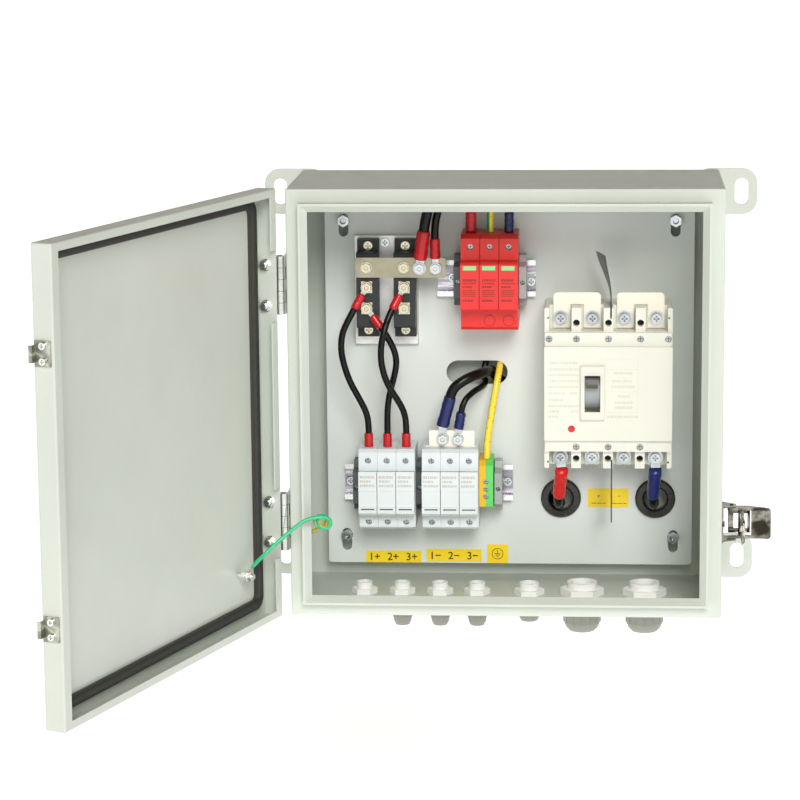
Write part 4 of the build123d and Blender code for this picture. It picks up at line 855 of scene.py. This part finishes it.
def flat_ring(work, x, height, z, outer, inner, segments=48):
    rings = [[], []]
    for ring, radius in zip(rings, (outer, inner)):
        for step in range(segments):
            angle = 2 * PI * step / segments
            spot = at(x + radius * math.cos(angle), height, z + radius * math.sin(angle))
            ring.append(work.verts.new(spot))
    for step in range(segments):
        after = (step + 1) % segments
        work.faces.new((rings[0][step], rings[0][after], rings[1][after], rings[1][step]))


def bar(work, x, z, height, rise=0.05):
    """A thin raised bar on the plate's devices."""
    add_box(work, at(x[0], height + rise, z[0]), at(x[1], height, z[1]))


earth_x, earth_z, line_half = -11.6, -172.4, 0.3
flat_ring(ink_work, earth_x, label_face + 0.03, earth_z, 5.6, 5.0)
bar(ink_work, (earth_x - line_half, earth_x + line_half), (earth_z, earth_z + 4.2), label_face)
for drop, reach in [(0, 3.2), (-1.5, 2.1), (-3.0, 1.0)]:
    level = earth_z + drop
    across, high = (earth_x - reach, earth_x + reach), (level - line_half, level + line_half)
    bar(ink_work, across, high, label_face)
main_plus_x, main_minus_x = 86.4, 106.2
for x in (main_plus_x, main_minus_x):
    bar(ink_work, (x - 1.4, x + 1.4), (-114.4, -113.9), label_face)
    for left, right in [(-7, -2.2), (-1.4, 3), (3.8, 7)]:
        bar(ink_work, (x + left, x + right), (-121.6, -121.0), label_face)
bar(ink_work, (main_plus_x - 0.25, main_plus_x + 0.25), (-115.5, -112.8), label_face)
piece("label_print", mesh_of(ink_work, "label_print"), label_ink, "cabinet", False)


def dashes(work, chance, x, z, height, thick=1.0, longest=3.2):
    """A row of short thin bars of uneven length, where a device carries small print."""
    place = x[0]
    while place < x[1] - 0.6:
        reach = min(place + chance.uniform(0.8, longest), x[1])
        bar(work, (place, reach), (z - thick / 2, z + thick / 2), height, 0.04)
        place = reach + chance.uniform(0.3, 0.7)


chance = random.Random(7)
cover_face = 68
cover_work = bmesh.new()
# Each row of small print: its height, and where it runs from and to across the cover
left_rows = [
    (28.5, (40, 66)), (22.4, (39, 67)), (16.8, (39, 67)), (11.2, (39, 67)), (5.6, (39, 67)),
    (-0.5, (39, 55)), (-0.5, (59, 67)), (-6.8, (39, 53)), (-12.7, (39, 67)), (-17.8, (39, 50)),
    (-17.8, (60, 67)), (-22.9, (39, 48)),
]
right_rows = [
    (18.8, (100, 118)), (11.3, (99, 117)), (6, (98, 120)), (-3.2, (104, 115)), (-9.2, (101, 118)),
    (-13.9, (101, 118)), (-22.7, (94, 124)),
]
for z, x in left_rows + right_rows:
    dashes(cover_work, chance, x, z, cover_face, 2.3)
frame_left, frame_right, frame_low, frame_high = 92.8, 122.8, -18.6, 31.6
half, rise = 0.15, 0.04
for z in (frame_low, frame_high, 22.6, 1.2):
    bar(cover_work, (frame_left, frame_right), (z - half, z + half), cover_face, rise)
for x in (frame_left, frame_right):
    bar(cover_work, (x - half, x + half), (frame_low, frame_high), cover_face, rise)
cover_mesh = mesh_of(cover_work, "cover_print")
piece("cover_print", cover_mesh, ivory_print, "cabinet", False)

window_z = 117.9
window_half_x, window_half_z, window_face = 6.3, 2.15, 67.8
cartridge_face = 68
# Each row of small print: its height, half its length, and its thickness
cartridge_rows = [
    (106.6, 6.2, 2.2), (103.6, 6.2, 1.3), (100.3, 4.6, 1.8), (97, 6, 0.9), (95.2, 6, 0.9),
    (93.4, 6, 0.9), (91.6, 6, 0.9), (87.4, 5, 1.8),
]
for index, x in enumerate(spd_x, 1):
    body = f"spd_cartridge_{index}"
    window_work = bmesh.new()
    low = at(x - window_half_x, window_face, window_z - window_half_z)
    high = at(x + window_half_x, window_face - 0.5, window_z + window_half_z)
    add_box(window_work, low, high, 0.2 * MM)
    window_mesh = mesh_of(window_work, "spd_window")
    piece(f"spd_window_{index}", window_mesh, window_green, body, False)
    print_work = bmesh.new()
    for z, reach, thick in cartridge_rows:
        left = x - window_half_x
        dashes(print_work, chance, (left, left + 2 * reach), z, cartridge_face, thick, 2.4)
    print_mesh = mesh_of(print_work, "spd_print")
    piece(f"spd_print_{index}", print_mesh, red_print, body, False)

carrier_face = 58
groove_face = 57.25
for index, x in enumerate(pole_x, 1):
    body = f"fuse_carrier_{index}"
    print_work = bmesh.new()
    left = x - 7.2
    for z, reach, thick in [(-84.4, 13.5, 2.6), (-88.6, 10.5, 2.2), (-92.8, 14, 2.4)]:
        dashes(print_work, chance, (left, left + reach), z, carrier_face, thick, 2.6)
    print_mesh = mesh_of(print_work, "fuse_print")
    piece(f"fuse_print_{index}", print_mesh, pale_print, body, False)
    # Painted shade: black bars fill each carrier's groove, whose depth is in shade.
    groove_work = bmesh.new()
    bar(groove_work, (x - 6.2, x + 6.2), (-116.3, -115.3), groove_face, 0.4)
    for end in (-6.2, 5):
        bar(groove_work, (x + end, x + end + 1.2), (-116.35, -115.25), groove_face, 1.3)
    groove_mesh = mesh_of(groove_work, "fuse_groove")
    piece(f"fuse_groove_{index}", groove_mesh, hollow_shade_black, body, False)

ring_z, recess_face, screw_face = 65.7, 50.05, 50.64
ring_work = bmesh.new()
for x in spd_x[1:]:
    flat_ring(ring_work, x, recess_face, ring_z, 5.6, 5.05)
    flat_ring(ring_work, x, screw_face, ring_z, 5.0, 4.6)
piece("spd_rings", mesh_of(ring_work, "spd_rings"), spd_shadow, "cabinet", False)

# The latch's strap is an open frame, whose bars are measured from the lever's axis
strap_work = bmesh.new()
lever_axis = Vector((209.5, -142, -113))
strap_bars = [
    ((-3, 17.4), (7, 11.4)), ((-3, 17.4), (-11.4, -7)), ((-3, 2), (-7, 7)), ((6.4, 11.2), (-7, 7)),
    ((15, 17.4), (-7, 7)),
]
strap_back, strap_front = 5.7, 6.5
for x, z in strap_bars:
    low = (lever_axis + Vector((x[0], strap_back, z[0]))) * MM
    high = (lever_axis + Vector((x[1], strap_front, z[1]))) * MM
    add_box(strap_work, low, high, 0.2 * MM)
piece("latch_strap", mesh_of(strap_work, "latch_strap"), chrome, "latch_lever")

# Painted shade: near-black plugs fill the breaker cover's screw holes, whose depth is in shade.
hole_radius, hole_bottom, hole_mouth = 2.9, 46.05, 52
hole_columns, hole_rows = (65, 95, 125), (65.2, -64.7)
hole_work = bmesh.new()
for x in hole_columns:
    for z in hole_rows:
        ends = [at(x, hole_bottom, z), at(x, hole_mouth, z)]
        add_tube(hole_work, ends, [hole_radius * MM] * 2, 24)
hole_mesh = mesh_of(hole_work, "cover_holes")
piece("cover_holes", hole_mesh, hollow_shade_black, "cabinet", False)

# ---------------------------------------------------------------- stage, lights and camera

floor_mesh = bpy.data.meshes.new("floor")
floor_half, floor_level = 60, -0.62
floor_corners = [
    (x * floor_half, y * floor_half, 0) for x, y in ((-1, -1), (1, -1), (1, 1), (-1, 1))
]
floor_mesh.from_pydata(floor_corners, [], [(0, 1, 2, 3)])
floor = bpy.data.objects.new("floor", floor_mesh)
floor.location.z = floor_level
bpy.context.scene.collection.objects.link(floor)
floor_look = Nodes("floor_look")
pale, paler = (0.88, 0.89, 0.91), (0.91, 0.92, 0.94)
floor_colour = floor_look.ramp(floor_look.noise(2, 3), (0.3, pale), (0.7, paler))
floor_look.set(Base_Color=floor_colour, Roughness=0.9)
floor_look.set(Emission_Color=(1, 1, 1), Emission_Strength=0.85)
floor_mesh.materials.append(floor_look.material)


def studio_sky(strength, side_level, top_level):
    """A soft studio: bright in front and behind, darker at the sides, dim and warm overhead."""
    world = bpy.data.worlds.new("studio")
    bpy.context.scene.world = world
    world.use_nodes = True
    tree = world.node_tree
    background = tree.nodes["Background"]

    def node(kind, **settings):
        made = tree.nodes.new(kind)
        for key, value in settings.items():
            setattr(made, key, value)
        return made

    def fade(source, start, end, low, high):
        made = node("ShaderNodeMapRange")
        keys = ("From Min", "From Max", "To Min", "To Max")
        for key, value in zip(keys, (start, end, low, high)):
            made.inputs[key].default_value = value
        tree.links.new(source, made.inputs["Value"])
        return made.outputs["Result"]

    split = node("ShaderNodeSeparateXYZ")
    tree.links.new(node("ShaderNodeTexCoord").outputs["Generated"], split.inputs[0])
    forward = node("ShaderNodeMath", operation="ABSOLUTE")
    tree.links.new(split.outputs["Y"], forward.inputs[0])
    product = node("ShaderNodeMath", operation="MULTIPLY")
    tree.links.new(fade(forward.outputs[0], 0.3, 0.95, side_level, strength), product.inputs[0])
    tree.links.new(fade(split.outputs["Z"], 0.08, 0.6, 1, top_level), product.inputs[1])
    tree.links.new(product.outputs[0], background.inputs["Strength"])
    tint = node("ShaderNodeMix", data_type="RGBA")
    tree.links.new(fade(split.outputs["Z"], 0.15, 0.6, 0, 1), tint.inputs[0])
    tint.inputs[6].default_value = (1, 1, 1, 1)
    tint.inputs[7].default_value = (1, 0.7, 0.3, 1)
    tree.links.new(tint.outputs[2], background.inputs["Color"])


studio_sky(strength=0.97, side_level=0.22, top_level=0.15)
sun_data = bpy.data.lights.new("key", "SUN")
sun_data.energy = 2.05
sun_data.angle = math.radians(26)
sun = bpy.data.objects.new("key", sun_data)
bpy.context.scene.collection.objects.link(sun)
sun_yaw, sun_height = math.radians(10), math.radians(30)
towards_sun = Vector((
    math.sin(sun_yaw) * math.cos(sun_height),
    -math.cos(sun_yaw) * math.cos(sun_height),
    math.sin(sun_height),
))
sun.rotation_euler = (-towards_sun).to_track_quat("-Z", "Y").to_euler()
bpy.context.scene.view_settings.view_transform = "Standard"

camera_yaw, camera_pitch, camera_roll = -0.0693, 0.1873, -0.00876
ahead = Vector((
    math.sin(camera_yaw) * math.cos(camera_pitch),
    math.cos(camera_yaw) * math.cos(camera_pitch),
    -math.sin(camera_pitch),
))
level = Vector((math.cos(camera_yaw), -math.sin(camera_yaw), 0))
upright = level.cross(ahead)
right = level * math.cos(camera_roll) + upright * math.sin(camera_roll)
up = upright * math.cos(camera_roll) - level * math.sin(camera_roll)
camera_data = bpy.data.cameras.new("camera")
camera_data.sensor_width = 36
camera_data.lens = 131.73
camera_place = mm(86.97, -2804.74, 506.81)
camera = bpy.data.objects.new("camera", camera_data)
bpy.context.scene.collection.objects.link(camera)
turn = Matrix((right, up, -ahead)).transposed()
camera.matrix_world = Matrix.Translation(camera_place) @ turn.to_4x4()
bpy.context.scene.camera = camera
